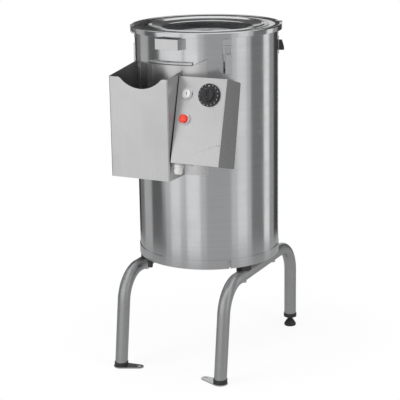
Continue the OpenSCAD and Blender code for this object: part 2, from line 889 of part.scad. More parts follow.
module abrasive_disc() {
    color("dimgray") difference() {
        union() {
            post(disc_r, disc_z, disc_top);
            post(shaft_r + 12, floor_top + 12, disc_z);
            for (turn = [0:120:240]) intersection() {
                translate([0, 0, disc_top - wave_r * 0.4]) rotate([0, 0, turn])
                    along_x_from(wave_r, shaft_r + 24, disc_r - 12);
                post(disc_r, disc_z + 1, disc_top + 2 * wave_r);
            }
        }
        post(shaft_r, floor_top, disc_top + 3 * wave_r);
    }
}

// Cylinder along +X between two distances
module along_x_from(r, x1, x2) {
    translate([x1, 0, 0]) rotate([0, 90, 0]) cylinder(r = r, h = x2 - x1);
}

module disc_nut() {
    color(bright) difference() {
        union() {
            hex(shaft_r + 9, disc_top, disc_top + nut_h - 3);
            rotate_extrude() polygon([
                [0, disc_top + nut_h - 3], [shaft_r + 4, disc_top + nut_h - 3],
                [shaft_r, disc_top + nut_h + 2], [0, disc_top + nut_h + 5]
            ]);
        }
        post(shaft_r, disc_top - cut, shaft_high);
    }
}

// ---- lid ----

module lid_ring() {
    inner = window_r;
    color(steel) rotate_extrude() polygon([
        [skirt_r, collar_top + seat], [skirt_r, lid_top - 1], [skirt_r - 1, lid_top],
        [inner, lid_top], [inner, lid_low],
        [skirt_r - lid_t, lid_low], [skirt_r - lid_t, collar_top + seat]
    ]);
}

module lid_window() {
    top = lid_low - seat;
    low = top - window_t - bead_h;
    bowl = low - window_depth + 8;
    color([0.75, 0.85, 0.9, 0.4]) rotate_extrude() polygon([
        [0, bowl], [window_r * 0.54, bowl + 3], [window_r * 0.8, bowl + 13], [window_r - 2, low],
        [window_r + 1, top - window_t], [window_r + window_band, top - window_t],
        [window_r + window_band, top], [window_r - 2, top], [window_r - 5, low + window_t],
        [window_r * 0.8 - 1, bowl + 13 + window_t], [window_r * 0.54, bowl + 3 + window_t],
        [0, bowl + window_t]
    ]);
}

module lid_seal() {
    color(black) ring(drum_r - 8, drum_r + 4, collar_top + seat, lid_low - seat);
}

// Strap over the rim with a tail that springs against the collar
module lid_clip() {
    out = skirt_r + seat;
    tail = drum_r + 0.8;
    color(bright) translate([-clip_w / 2, 0, 0]) rotate([90, 0, 90]) linear_extrude(clip_w) polygon([
        [-skirt_r + 14, lid_top + seat], [-skirt_r + 14, lid_top + seat + clip_t],
        [-out - clip_t, lid_top + seat + clip_t], [-out - clip_t, collar_top - 2],
        [-tail - clip_t, collar_top - 8], [-tail - clip_t, collar_top - 16],
        [-tail, collar_top - 16], [-tail, collar_top - 8], [-out, collar_top - 2], [-out, lid_top + seat]
    ]);
}

module lid_clips() {
    color(bright) for (az = [clip_az, clip_az + 180]) at_az(az) difference() {
        lid_clip();
        translate([0, 0, collar_top - 12]) along_y(2.5, -skirt_r, -drum_r + 10);
    }
}

// ---- toggle latches ----

module latch_base() {
    // Plate against the drum
    translate([-lever_half_w, -drum_r - strike_t, bail_pin_z - 20])
        cube([2 * lever_half_w, strike_t - 0.05, lever_pin_z - bail_pin_z + 24]);
    // Ears, rounded about the lever's pin so that the lever's face clears them
    for (side = [-1, 1]) translate([side * (ear_out - ear_t / 2), 0, lever_pin_z]) {
        translate([-ear_t / 2, -lever_pin_o, -6]) cube([ear_t, lever_pin_o - drum_r - 1, 6.5]);
        translate([0, -lever_pin_o, 0]) along_x(ear_r, ear_t / 2);
    }
    // Pin through both ears and both cheeks of the lever
    translate([0, -lever_pin_o, lever_pin_z]) along_x(latch_pin_r, lever_half_w);
}

module latch_bases() {
    color(bright) for (az = latch_azimuths) at_az(az) latch_base();
}

module latch_lever() {
    face_w = 2 * lever_half_w;
    arm_low = bail_pin_z - 4;
    difference() {
        union() {
            translate([-lever_half_w, -lever_face_o - 1.5, lever_pin_z - lever_len])
                cube([face_w, 1.5, lever_len + 1.5]);
            for (side = [-1, 1])
                translate([side * (lever_half_w - cheek_t / 2) - cheek_t / 2, -lever_face_o - 0.5, arm_low])
                    cube([cheek_t, lever_face_o + 0.5 - drum_r - 4, lever_pin_z + 2.5 - arm_low]);
            // Turned-out lip at the lever's free end
            translate([0, -lever_face_o - 0.3, lever_pin_z - lever_len]) along_x(1.4, lever_half_w);
        }
        translate([0, -lever_pin_o, lever_pin_z]) along_x(latch_pin_r + fit, lever_half_w + cut);
        translate([0, -bail_o, bail_pin_z]) along_x(wire_r + fit, lever_half_w + cut);
    }
}

module latch_bail() {
    for (side = [-1, 1]) {
        translate([side * bail_half_w, -bail_o, 0]) post(wire_r, bail_pin_z, bail_bar_z);
        translate([side * bail_half_w, -bail_o, bail_bar_z]) sphere(wire_r);
        translate([side * bail_half_w, -bail_o, bail_pin_z]) sphere(wire_r);
        translate([side * (bail_half_w + cheek_in) / 2, -bail_o, bail_pin_z])
            along_x(wire_r, (bail_half_w - cheek_in) / 2);
    }
    translate([0, -bail_o, bail_bar_z]) along_x(wire_r, bail_half_w);
}

module latch_lever_1() { color(bright) at_az(latch_az_1) latch_lever(); }
module latch_lever_2() { color(bright) at_az(latch_az_2) latch_lever(); }
module latch_lever_3() { color(bright) at_az(latch_az_3) latch_lever(); }
module latch_bail_1() { color(bright) at_az(latch_az_1) latch_bail(); }
module latch_bail_2() { color(bright) at_az(latch_az_2) latch_bail(); }
module latch_bail_3() { color(bright) at_az(latch_az_3) latch_bail(); }

module latch_strikes() {
    half = lever_half_w + 2.5;
    color(bright) for (az = latch_azimuths) at_az(az) {
        translate([-half, -drum_r - strike_t, ledge_z])
            cube([2 * half, strike_t - 0.05, collar_h - 4]);
        // Flat ledge that the bail's bar rests on
        translate([-lever_half_w, -bail_o - 2, ledge_z])
            cube([2 * lever_half_w, bail_o + 2 - drum_r - 0.5, ledge_h]);
    }
}

// ---- lid switch ----

module switch_bracket() {
    color(steel) arc_wall(drum_r + seat, drum_r + seat + 1.2, shell_top - 39, shell_top + 6,
        switch_az - 4, switch_az + 4);
}

module lid_switch() {
    back = -drum_r - seat - 1.3;
    color(black) at_az(switch_az) translate([-9, 0, 0]) rotate([90, 0, 90]) linear_extrude(18) polygon([
        [back - 0.3, shell_top - 30], [back - 12.5, shell_top - 30], [back - 12.5, shell_top - 22],
        [back - 8, shell_top - 6], [back - 0.3, shell_top - 6]
    ]);
}

// ---- chute and gate ----

// Points along an arc
function arc(centre, r, a1, a2, steps = 8) =
    [for (i = [0:steps]) centre + r * [cos(a1 + (a2 - a1) * i / steps), sin(a1 + (a2 - a1) * i / steps)]];

// Plan of the chute, drawn in by an inset; it runs back to inside the drum
module chute_plan(inset, back) {
    polygon(concat(
        [[-chute_left + inset, side_back_y_1 + back]],
        arc([-chute_left + chute_fold, front_y + chute_fold], chute_fold - inset, 180, 270),
        arc([chute_right - chute_fold, front_y + chute_fold], chute_fold - inset, 270, 360),
        [[right_back - inset, side_back_y_2 + back]]
    ));
}

// Notch in the front's top edge, with rounded shoulders
module notch_shape() {
    arc_r = (pow(notch_w / 2, 2) + pow(notch_d, 2)) / (2 * notch_d);
    rise = arc_r - notch_d + notch_shoulder_r;
    dx = sqrt(pow(arc_r + notch_shoulder_r, 2) - pow(rise, 2));
    meet = atan2(rise, -dx);
    translate([-notch_x, chute_top]) polygon(concat(
        [[dx, cut]],
        arc([dx, -notch_shoulder_r], notch_shoulder_r, 90, meet),
        arc([0, arc_r - notch_d], arc_r, meet - 183, 3 - meet, 28),
        arc([-dx, -notch_shoulder_r], notch_shoulder_r, 180 - meet, 90),
        [[-dx, cut]]
    ));
}

// Everything above a line that rises from the front towards the drum
module above_side(x1, x2, rise, back_edge_y) {
    translate([x1, 0, 0]) rotate([90, 0, 90]) linear_extrude(x2 - x1) polygon([
        [front_y - 5, chute_top], [front_y, chute_top], [back_edge_y, chute_top + rise],
        [back_edge_y + 20, chute_top + rise], [back_edge_y + 20, chute_top + 60],
        [front_y - 5, chute_top + 60]
    ]);
}

module discharge_chute() {
    flange_x = drum_r * sin(flange_az);
    wall_h = chute_h + left_rise + right_rise + 5;
    color(steel) {
        difference() {
            translate([0, 0, chute_z]) linear_extrude(wall_h) difference() {
                chute_plan(0, 10);
                chute_plan(chute_t, 12);
            }
            post(drum_r + seat, chute_z - cut, chute_top + 60);
            intersection() {
                post(cover_r + chute_t / 2, chute_z - cut, chute_top + 60);
                translate([-60, -300, 0]) cube([200, 300, chute_top + 60]);
            }
            above_side(-chute_left - 5, -chute_left + 10, left_rise, side_back_y_1);
            above_side(chute_right - 10, right_back + 5, right_rise, side_back_y_2);
            translate([-chute_left + 10, front_y - 5, chute_top])
                cube([chute_left + chute_right - 20, 150, 60]);
            translate([0, front_y + 10, 0]) rotate([90, 0, 0]) linear_extrude(20) notch_shape();
        }
        // Left flange, turned inwards along the drum
        arc_wall(drum_r + seat, drum_r + seat + chute_t, chute_z, chute_top + left_rise,
            side_az_1, side_az_1 + 9);
        // Right flange, which starts inside the side wall and also covers the gate's right edge
        intersection() {
            arc_wall(cover_r, cover_r + chute_t, chute_z, chute_top + 60, side_az_2 - 0.8, flange_az);
            translate([0, -100, 0]) rotate([90, 0, 0]) linear_extrude(150) polygon([
                [0, chute_z - cut], [flange_x + 20, chute_z - cut],
                [flange_x + 20, chute_top + right_rise + flange_rise],
                [flange_x, chute_top + right_rise + flange_rise],
                [right_back, chute_top + right_rise],
                [0, chute_top + right_rise]
            ]);
        }
    }
}

module gate_guides() {
    low = gate_z - 6;
    high = lip_z - lip_r - 2;
    color(steel) {
        difference() {
            arc_wall(drum_r + seat, cover_r + chute_t, low, high, gate_az_1 - 4.5, gate_az_1 + 2);
            arc_wall(drum_r - cut, cover_r, low - cut, high + cut, gate_az_1 - 0.3, gate_az_1 + 3);
        }
        arc_wall(drum_r + seat, cover_r - seat, low, lip_z - lip_r - 14, gate_az_2 + 0.3, flange_az);
    }
}

module splash_plate() {
    color(steel) {
        arc_wall(splash_r, splash_r + splash_t, splash_z, lip_z, gate_az_1, gate_az_2 - 1.5);
        rotate([0, 0, gate_az_1 - 90]) rotate_extrude(angle = gate_az_2 - 1.5 - gate_az_1)
            translate([splash_r + lip_r, lip_z]) circle(lip_r);
    }
}

module discharge_gate() {
    knob_z = gate_z + gate_h - 60;
    color(steel) {
        arc_wall(gate_r, gate_r + gate_t, gate_z, gate_z + gate_h, gate_az_1, gate_az_2);
        at_az(-6) translate([0, 0, knob_z]) {
            along_y(4, -gate_r - 22, -gate_r - gate_t / 2);
            translate([0, -gate_r - 24, 0]) sphere(9);
        }
    }
}

module chute_rivets() {
    top = chute_top + right_rise;
    color(bright) {
        at_az(19.5) translate([0, 0, top + 10]) along_y(2.4, -cover_r - chute_t - 1.6, -cover_r - chute_t);
        at_az(23.5) translate([0, 0, top + 17]) along_y(2.4, -cover_r - chute_t - 1.6, -cover_r - chute_t);
        at_az(22.6) translate([0, 0, top + 31]) along_y(2, -drum_r - 6, -drum_r - 0.05);
        for (z = [chute_z + 20, chute_top - 100, chute_top + left_rise - 12]) at_az(side_az_1 + 6)
            translate([0, 0, z]) along_y(2.4, -drum_r - chute_t - 1.8, -drum_r - chute_t - 0.2);
        at_az(23) translate([0, 0, chute_z + 12])
            along_y(2.4, -cover_r - chute_t - 1.6, -cover_r - chute_t);
    }
}

// ---- control box ----

// Puts something drawn on the leaning panel in its place; X to the right, Z up the slope, Y inwards
module on_panel() {
    translate([box_left, box_y, box_z]) rotate([-lean, 0, 0]) children();
}

// Block with the box's side profile, drawn in by an inset
module box_block(inset, front) {
    round_r = box_round - inset;
    translate([inset, 0, 0]) rotate([90, 0, 90]) linear_extrude(box_w - 2 * inset) polygon(concat(
        [[front, inset], [box_low_d - inset, inset]],
        arc([box_top_d - box_round, panel_h - box_round], max(round_r, 0.2), 0, 90),
        [[front, panel_h - inset]]
    ));
}

back_clear_r = cover_r + chute_t + 0.3;

module control_box() {
    color(steel) {
        difference() {
            on_panel() box_block(0, panel_t + seat);
            post(back_clear_r, box_z - 100, box_z + 300);
            difference() {
                on_panel() box_block(box_t, panel_t - cut);
                post(back_clear_r + box_t, box_z - 100, box_z + 300);
            }
            on_panel() for (spot = [[14.5, 8.2], [42, 5.2]]) translate([spot[0], 18, -cut])
                cylinder(r = spot[1], h = box_t + 2 * cut);
        }
        // Block inside the right side that the panel's screw goes into
        on_panel() difference() {
            translate([screw_x - 5, panel_t + seat, panel_h - screw_drop - 7])
                cube([box_w - screw_x + 5 - box_t / 2, 9, 14]);
            translate([screw_x, 0, panel_h - screw_drop]) along_y(2 + fit, 0, 20);
        }
    }
}

module control_panel() {
    color(bright) on_panel() difference() {
        cube([box_w, panel_t, panel_h]);
        for (drop = [start_drop, stop_drop]) translate([button_x, 0, panel_h - drop])
            along_y(barrel_r + seat, -cut, panel_t + cut);
        translate([knob_x, 0, panel_h - knob_drop]) along_y(knob_shaft_r + 2.2, -cut, panel_t + cut);
        translate([screw_x, 0, panel_h - screw_drop]) along_y(2.2, -cut, panel_t + cut);
    }
}

module panel_screw() {
    color(bright) on_panel() translate([screw_x, 0, panel_h - screw_drop]) {
        along_y(2, 0, 10);
        rotate([90, 0, 0]) rotate_extrude() polygon([[0, 0], [4, 0], [3.4, 1.4], [2, 2.2], [0, 2.4]]);
    }
}

module bezel() {
    rotate([90, 0, 0]) rotate_extrude() polygon([
        [cap_r + seat, -stud_y], [barrel_r, -stud_y], [barrel_r, 0], [bezel_r, 0],
        [bezel_r, bezel_h - 1], [bezel_r - 1, bezel_h], [cap_r + seat, bezel_h]
    ]);
}

module button_bezels() {
    color("dimgray") on_panel() for (drop = [start_drop, stop_drop])
        translate([button_x, 0, panel_h - drop]) bezel();
}

module start_button() {
    color("white") on_panel() translate([button_x, 0, panel_h - start_drop]) rotate([90, 0, 0])
        rotate_extrude() polygon([
            [0, -stud_y + start_travel + 1], [cap_r, -stud_y + start_travel + 1], [cap_r, bezel_h],
            [cap_r - 0.8, bezel_h + 0.8], [0, bezel_h + 0.8]
        ]);
}

module stop_button() {
    low = bezel_h + stop_travel + 0.5;
    color("red") on_panel() translate([button_x, 0, panel_h - stop_drop]) rotate([90, 0, 0])
        rotate_extrude() polygon([
            [0, -stud_y + stop_travel + 1], [cap_r, -stud_y + stop_travel + 1], [cap_r, low],
            [cap_r + 0.7, low], [cap_r + 0.7, low + 4.5], [cap_r - 0.3, low + 5.5], [0, low + 5.5]
        ]);
}

module timer_knob() {
    off = 1.5;
    color(black) on_panel() translate([knob_x, 0, panel_h - knob_drop]) {
        rotate([90, 0, 0]) rotate_extrude() polygon([
            [0, off], [knob_r, off], [knob_r, off + 3], [knob_r - 1.5, off + 4.5],
            [knob_r * 0.66, off + 5.5], [knob_r * 0.6, knob_h - 1], [knob_r * 0.6 - 1, knob_h], [0, knob_h]
        ]);
        along_y(knob_shaft_r, -off - 1, 22);
    }
}

module switch_blocks() {
    color(black) on_panel() {
        translate([knob_x, 0, panel_h - knob_drop]) difference() {
            union() {
                translate([-26, panel_t + seat, -26]) cube([52, 34, 52]);
                along_y(knob_shaft_r + 2, -0.8, panel_t + cut);
            }
            along_y(knob_shaft_r + fit, -2, 24);
        }
        for (drop = [start_drop, stop_drop]) translate([button_x - 13, stud_y + seat, panel_h - drop - 16])
            cube([26, 11, 32]);
    }
}

module cable_gland() {
    color("lightgray") on_panel() {
        translate([14.5, 18, 0]) rotate([180, 0, 0]) rotate_extrude() polygon([
            [gland_bore_r, -9], [11, -9], [11, -box_t - seat], [8, -box_t - seat], [8, 0.05], [gland_r, 0.05],
            [gland_r, 9], [gland_r - 1.5, 10], [gland_r - 1.5, gland_len - 6], [gland_r - 4, gland_len],
            [gland_bore_r, gland_len]
        ]);
        // Blanking plug in the second hole
        translate([42, 18, 0]) rotate([180, 0, 0]) rotate_extrude() polygon([
            [0, -6], [5, -6], [5, 0.05], [8, 0.05], [8, 2.5], [6.5, 4], [0, 4]
        ]);
    }
}

right_bow();
left_leg();
leg_caps();
floor_tabs();
levelling_foot();
stand_pads();
stand_bolts();
base_plate();
clamp_band();
base_bolts();
deck_posts();
deck_plate();
drum_shell();
drum_collar();
collar_handle();
collar_rivets();
chamber_floor();
drain_spigot();
chamber_liner();
water_inlet();
bearing_housing();
bearings();
shaft_seal();
main_shaft();
main_pulley();
abrasive_disc();
disc_nut();
drive_motor();
motor_shaft();
motor_pulley();
drive_belt();
motor_bolts();
lid_ring();
lid_window();
lid_clips();
lid_seal();
latch_lever_1();
latch_lever_2();
latch_lever_3();
latch_bail_1();
latch_bail_2();
latch_bail_3();
latch_bases();
latch_strikes();
lid_switch();
switch_bracket();
discharge_chute();
splash_plate();
gate_guides();
discharge_gate();
chute_rivets();
control_box();
control_panel();
panel_screw();
start_button();
stop_button();
button_bezels();
timer_knob();
switch_blocks();
cable_gland();
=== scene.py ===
import json
import math

import bpy
import numpy as np
from bpy.props import FloatProperty, FloatVectorProperty, IntProperty, PointerProperty
from mathutils import Matrix, Vector


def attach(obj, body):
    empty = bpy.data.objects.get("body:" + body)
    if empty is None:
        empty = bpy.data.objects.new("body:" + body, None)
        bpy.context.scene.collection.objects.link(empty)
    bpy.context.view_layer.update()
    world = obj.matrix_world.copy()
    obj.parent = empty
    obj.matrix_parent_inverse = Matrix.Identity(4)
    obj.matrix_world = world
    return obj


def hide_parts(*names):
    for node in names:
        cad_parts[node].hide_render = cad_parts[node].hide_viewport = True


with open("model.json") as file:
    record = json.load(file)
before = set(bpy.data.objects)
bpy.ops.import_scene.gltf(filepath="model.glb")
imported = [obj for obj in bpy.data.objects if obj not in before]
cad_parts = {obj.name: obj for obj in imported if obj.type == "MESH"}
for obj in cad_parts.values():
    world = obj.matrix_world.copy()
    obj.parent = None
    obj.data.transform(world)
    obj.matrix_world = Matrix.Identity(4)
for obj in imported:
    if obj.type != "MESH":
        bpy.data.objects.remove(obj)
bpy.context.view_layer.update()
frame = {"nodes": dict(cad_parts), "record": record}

bl_info = {
    "name": "Potato peeler",
    "version": (1, 0, 0),
    "blender": (4, 5, 0),
    "location": "3D View > Sidebar > Peeler",
    "description": "Dresses the packed peeler with its finishes and fine pieces",
    "category": "Object",
}

MM = 0.001

# Places of the machine, in millimetres, as the solids have them
DRUM_R = 180.0
PANEL_LEAN = 15.4  # degrees
PANEL_FOOT = (25.4, -258.4, 554.7)  # its lower left corner
PANEL_H = 207.4

# On the panel, from its top left corner: along it and down it
TIMER_X, TIMER_DROP, TIMER_R = 84.2, 40.5, 27.5
BUTTON_X, START_DROP, STOP_DROP = 25.5, 40.6, 100.9

KNURLS, KNURL_DEPTH = 36, 0.018  # grooves round the timer knob, and their depth as a share
LID_STEPS = 256  # columns round the lid
AXIS_R = 0.02  # millimetres: the smallest ring of a turned body
MIDDLE_SHARE = 0.02  # the smallest ring of a rounded box, as a share of its outline
WELD_DISTANCE = 2e-6  # metres; joins the loose triangles of the solids
SHARP_ANGLE = math.radians(32)
BEVEL_ANGLE = math.radians(35)


# ---- settings a user would change ----

class PEELER_PG_finish(bpy.types.PropertyGroup):
    """Colours and gloss"""
    drum_tint: FloatVectorProperty(
        name="Drum steel", description="Colour of the drum's brushed steel",
        default=(0.66, 0.665, 0.675), subtype="COLOR", min=0, max=1)
    drum_rough: FloatProperty(
        name="Drum roughness", description="Roughness of the drum along its grain",
        default=0.15, min=0, max=1, subtype="FACTOR")
    sheet_tint: FloatVectorProperty(
        name="Sheet steel", description="Colour of the chute's and the box's satin sheet",
        default=(0.64, 0.64, 0.645), subtype="COLOR", min=0, max=1)
    sheet_rough: FloatProperty(
        name="Sheet roughness", description="Roughness of the satin sheet",
        default=0.28, min=0, max=1, subtype="FACTOR")
    tube_tint: FloatVectorProperty(
        name="Tube steel", description="Colour of the legs' tube",
        default=(0.5, 0.505, 0.51), subtype="COLOR", min=0, max=1)
    black: FloatVectorProperty(
        name="Black plastic", description="Colour of the caps, the timer knob and the lid switch",
        default=(0.018, 0.018, 0.02), subtype="COLOR", min=0, max=1)
    red: FloatVectorProperty(
        name="Stop button", description="Colour of the stop button",
        default=(0.72, 0.035, 0.018), subtype="COLOR", min=0, max=1)
    white: FloatVectorProperty(
        name="Start button", description="Colour of the start button",
        default=(0.8, 0.8, 0.8), subtype="COLOR", min=0, max=1)


class PEELER_PG_sizes(bpy.types.PropertyGroup):
    """Sizes of the fine pieces"""
    tick_count: IntProperty(
        name="Dial ticks", description="Number of ticks round the timer knob",
        default=16, min=4, max=60)
    tick_length: FloatProperty(
        name="Tick length", description="Length of a tick on the timer knob",
        default=2.1 * MM, min=0.001, max=0.005, unit="LENGTH")
    edge_round: FloatProperty(
        name="Edge rounding", description="Rounding of the sheet metal's edges",
        default=0.5 * MM, min=0, max=0.002, unit="LENGTH")


class PEELER_PG_studio(bpy.types.PropertyGroup):
    """Camera and light"""
    lens: FloatProperty(
        name="Lens", description="Focal length of the camera on a 36 mm sensor",
        default=116.28, min=20, max=300)
    tilt: FloatProperty(
        name="Tilt", description="How far the camera looks down",
        default=math.radians(15.01), subtype="ANGLE")
    heading: FloatProperty(
        name="Heading", description="Turn of the camera about the vertical",
        default=math.radians(26.41), subtype="ANGLE")
    roll: FloatProperty(
        name="Roll", description="Turn of the camera about its own line of sight",
        default=math.radians(-0.91), subtype="ANGLE")
    key_power: FloatProperty(
        name="Main lamp", description="Power of the large lamp at the front left",
        default=60.0, min=0, unit="POWER")
    fill_power: FloatProperty(
        name="Side lamp", description="Power of the lamp at the right",
        default=20.0, min=0, unit="POWER")
    floor_tint: FloatProperty(
        name="Floor", description="Lightness of the floor under the machine's shadow",
        default=0.92, min=0, max=1, subtype="FACTOR")


def finish():
    return bpy.context.scene.peeler_finish


def sizes():
    return bpy.context.scene.peeler_sizes


def studio():
    return bpy.context.scene.peeler_studio


# ---- shader nodes ----

class Net:
    """A small writer for a node tree: add() makes a node, sets its fields and its inputs."""

    def __init__(self, tree):
        self.tree = tree

    def add(self, kind, inputs=None, **fields):
        node = self.tree.nodes.new(kind)
        for key, value in fields.items():
            setattr(node, key, value)
        for key, value in (inputs or {}).items():
            self.put(node.inputs[key], value)
        return node

    def put(self, socket, value):
        if isinstance(value, bpy.types.NodeSocket):
            self.tree.links.new(value, socket)
        else:
            socket.default_value = value

    def math(self, operation, a, b=0.0):
        return self.add("ShaderNodeMath", {0: a, 1: b}, operation=operation).outputs[0]

    def vector(self, operation, a, b=(0, 0, 0)):
        return self.add("ShaderNodeVectorMath", {0: a, 1: b}, operation=operation).outputs[0]

    def noise(self, vector, scale, detail=3.0, rough=0.5):
        node = self.add("ShaderNodeTexNoise", {"Vector": vector, "Scale": scale, "Detail": detail,
                                               "Roughness": rough})
        return node.outputs[0]

    def ramp(self, value, low, high, to_low=0.0, to_high=1.0):
        node = self.add("ShaderNodeMapRange", {"Value": value, "From Min": low, "From Max": high,
                                               "To Min": to_low, "To Max": to_high},
                        interpolation_type="SMOOTHSTEP")
        return node.outputs[0]

    def mix(self, factor, a, b):
        node = self.add("ShaderNodeMix", data_type="RGBA")
        self.put(node.inputs[0], factor)
        self.put(node.inputs[6], a)
        self.put(node.inputs[7], b)
        return node.outputs[2]


def group(name, inputs, outputs, write):
    """A shader node group with float (f) or vector (v) sockets; write(net, sockets) gives its
    outputs."""
    tree = bpy.data.node_groups.new(name, "ShaderNodeTree")
    kinds = {"f": "NodeSocketFloat", "v": "NodeSocketVector"}
    for label, kind, default in inputs:
        socket = tree.interface.new_socket(label, in_out="INPUT", socket_type=kinds[kind])
        if default is not None:
            socket.default_value = default
    for label, kind in outputs:
        tree.interface.new_socket(label, in_out="OUTPUT", socket_type=kinds[kind])
    net = Net(tree)
    given = net.add("NodeGroupInput").outputs
    result = write(net, given)
    end = net.add("NodeGroupOutput")
    for (label, _), value in zip(outputs, result):
        net.put(end.inputs[label], value)
    return tree


def write_grain(net, given):
    """Brushing: streaks of two widths, long along X of the vector and thin along Y and Z."""
    fine = net.noise(given["Vector"], given["Fine"], 4.0, 0.6)
    wide_vector = net.vector("MULTIPLY", given["Vector"], (0.6, 0.22, 0.22))
    wide = net.noise(wide_vector, given["Fine"], 2.0, 0.5)
    height = net.math("ADD", net.math("MULTIPLY", fine, 0.7), net.math("MULTIPLY", wide, 0.3))
    tone = net.ramp(wide, 0.3, 0.7, 0.98, 1.02)
    return height, tone


def write_handling(net, given):
    """Handling: soft smears, and thin scratches where two cell walls of a Voronoi pattern meet."""
    smear = net.ramp(net.noise(given["Vector"], given["Scale"], 4.0, 0.6), 0.42, 0.68)
    bend = net.add("ShaderNodeTexNoise", {"Vector": given["Vector"], "Scale": 9.0}).outputs[1]
    bent = net.vector("ADD", given["Vector"], net.vector("MULTIPLY", bend, (0.02, 0.02, 0.02)))
    cells = net.add("ShaderNodeTexVoronoi", {"Vector": bent, "Scale": 34.0},
                    feature="DISTANCE_TO_EDGE").outputs[0]
    line = net.ramp(cells, 0.0, 0.012, 1.0, 0.0)
    patch = net.ramp(net.noise(given["Vector"], 11.0), 0.5, 0.7)
    scratch = net.math("MULTIPLY", line, patch)
    return smear, scratch


def write_moulding(net, given):
    """Moulded texture: fine spark-eroded pits, and a broad unevenness of the gloss."""
    pits = net.noise(given["Vector"], 2600.0, 2.0, 0.6)
    broad = net.ramp(net.noise(given["Vector"], 60.0, 3.0), 0.35, 0.7)
    return pits, broad


def make_groups():
    """The shader node groups that the finishes share."""
    return {
        "grain": group(
            "Brushed grain", [("Vector", "v", None), ("Fine", "f", 1.0)],
            [("Height", "f"), ("Tone", "f")], write_grain),
        "handling": group(
            "Handling marks", [("Vector", "v", None), ("Scale", "f", 6.0)],
            [("Smear", "f"), ("Scratch", "f")], write_handling),
        "moulding": group(
            "Moulded texture", [("Vector", "v", None)],
            [("Pits", "f"), ("Broad", "f")], write_moulding),
    }


# Filled by make_materials: node groups by their key, materials by their slot
GROUPS = {}
MATERIALS = {}

SMEAR_ROUGHNESS, SCRATCH_ROUGHNESS = 0.06, 0.1  # added to the steel's roughness
SHEET_GRAIN = (1100.0, 1100.0, 12.0)  # streaks that run upwards
BOX_SHADE_TINT = (0.36, 0.36, 0.365)  # painted shade: the control box's steel is darker than the other sheet, for the shade on its sides


def start_material(name):
    """A new material: its net, its Principled shader and the Object coordinates."""
    made = bpy.data.materials.new(name)
    made.use_nodes = True
    net = Net(made.node_tree)
    shader = made.node_tree.nodes["Principled BSDF"]
    place = net.add("ShaderNodeTexCoord").outputs["Object"]
    return made, net, shader, place


def use(net, key, inputs):
    """Adds the node group of that key to a material and gives its outputs."""
    node = net.add("ShaderNodeGroup", node_tree=GROUPS[key])
    for label, value in inputs.items():
        net.put(node.inputs[label], value)
    return node.outputs


def round_drum(net, place):
    """Coordinates that follow a round wall: azimuth times the drum's radius, distance, height."""
    parts = net.add("ShaderNodeSeparateXYZ", {0: place}).outputs
    azimuth = net.math("ARCTAN2", parts[1], parts[0])
    along = net.math("MULTIPLY", azimuth, DRUM_R * MM)
    distance = net.math("SQRT", net.math("ADD", net.math("MULTIPLY", parts[0], parts[0]),
                                         net.math("MULTIPLY", parts[1], parts[1])))
    return net.add("ShaderNodeCombineXYZ", {0: along, 1: distance, 2: parts[2]}).outputs[0]


def steel(name, tint, rough, grain, bump, around=False, stretch=0.0):
    """Brushed steel. grain: streaks per metre along X, Y and Z or, around the drum, along its wall,
    through it and up it. stretch: anisotropy, which draws the highlights out up the wall."""
    made, net, shader, place = start_material(name)
    wall = round_drum(net, place) if around else place
    streaks = use(net, "grain", {"Vector": net.vector("MULTIPLY", wall, grain), "Fine": 1.0})
    worn = use(net, "handling", {"Vector": wall, "Scale": 7.0})
    tone = net.add("ShaderNodeCombineXYZ", {i: streaks["Tone"] for i in range(3)})
    colour = net.vector("MULTIPLY", tone.outputs[0], tuple(tint))
    smear_tint = tuple(0.88 * t for t in tint) + (1,)
    smeared = net.mix(net.math("MULTIPLY", worn["Smear"], 0.25), colour, smear_tint)
    net.put(shader.inputs["Base Color"], smeared)
    shader.inputs["Metallic"].default_value = 1.0
    level = net.math("ADD", rough, net.math("MULTIPLY", worn["Smear"], SMEAR_ROUGHNESS))
    level = net.math("ADD", level, net.math("MULTIPLY", worn["Scratch"], SCRATCH_ROUGHNESS))
    uneven = net.math("MULTIPLY", net.math("SUBTRACT", streaks["Height"], 0.5), 0.08)
    level = net.math("ADD", level, uneven)
    net.put(shader.inputs["Roughness"], level)
    height = net.math("SUBTRACT", streaks["Height"], net.math("MULTIPLY", worn["Scratch"], 0.4))
    net.put(shader.inputs["Normal"], net.add("ShaderNodeBump", {
        "Strength": bump, "Distance": 0.0002, "Height": height}).outputs[0])
    if stretch:
        axis = net.add("ShaderNodeSeparateXYZ", {0: place}).outputs
        flat = net.add("ShaderNodeCombineXYZ", {0: axis[0], 1: axis[1], 2: 0.0}).outputs[0]
        run = net.vector("CROSS_PRODUCT", (0, 0, 1), flat)
        net.put(shader.inputs["Tangent"], net.vector("NORMALIZE", run))
        shader.inputs["Anisotropic"].default_value = stretch
        shader.inputs["Anisotropic Rotation"].default_value = 0.25
    return made


def plastic(name, tint, rough, bump=0.12, coat=0.0, dust=0.06):
    """Moulded plastic or rubber, with fine pits, uneven gloss and a little dust."""
    made, net, shader, place = start_material(name)
    mould = use(net, "moulding", {"Vector": place})
    worn = use(net, "handling", {"Vector": place, "Scale": 40.0})
    pale = tuple(min(1.0, t + dust * 0.35 + 0.1 * t) for t in tint) + (1,)
    net.put(shader.inputs["Base Color"],
            net.mix(net.math("MULTIPLY", worn["Smear"], 0.4), tuple(tint) + (1,), pale))
    level = net.math("ADD", rough, net.math("MULTIPLY", mould["Broad"], 0.08))
    net.put(shader.inputs["Roughness"], level)
    net.put(shader.inputs["Normal"], net.add("ShaderNodeBump", {
        "Strength": bump, "Distance": 0.00008, "Height": mould["Pits"]}).outputs[0])
    shader.inputs["Coat Weight"].default_value = coat
    return made


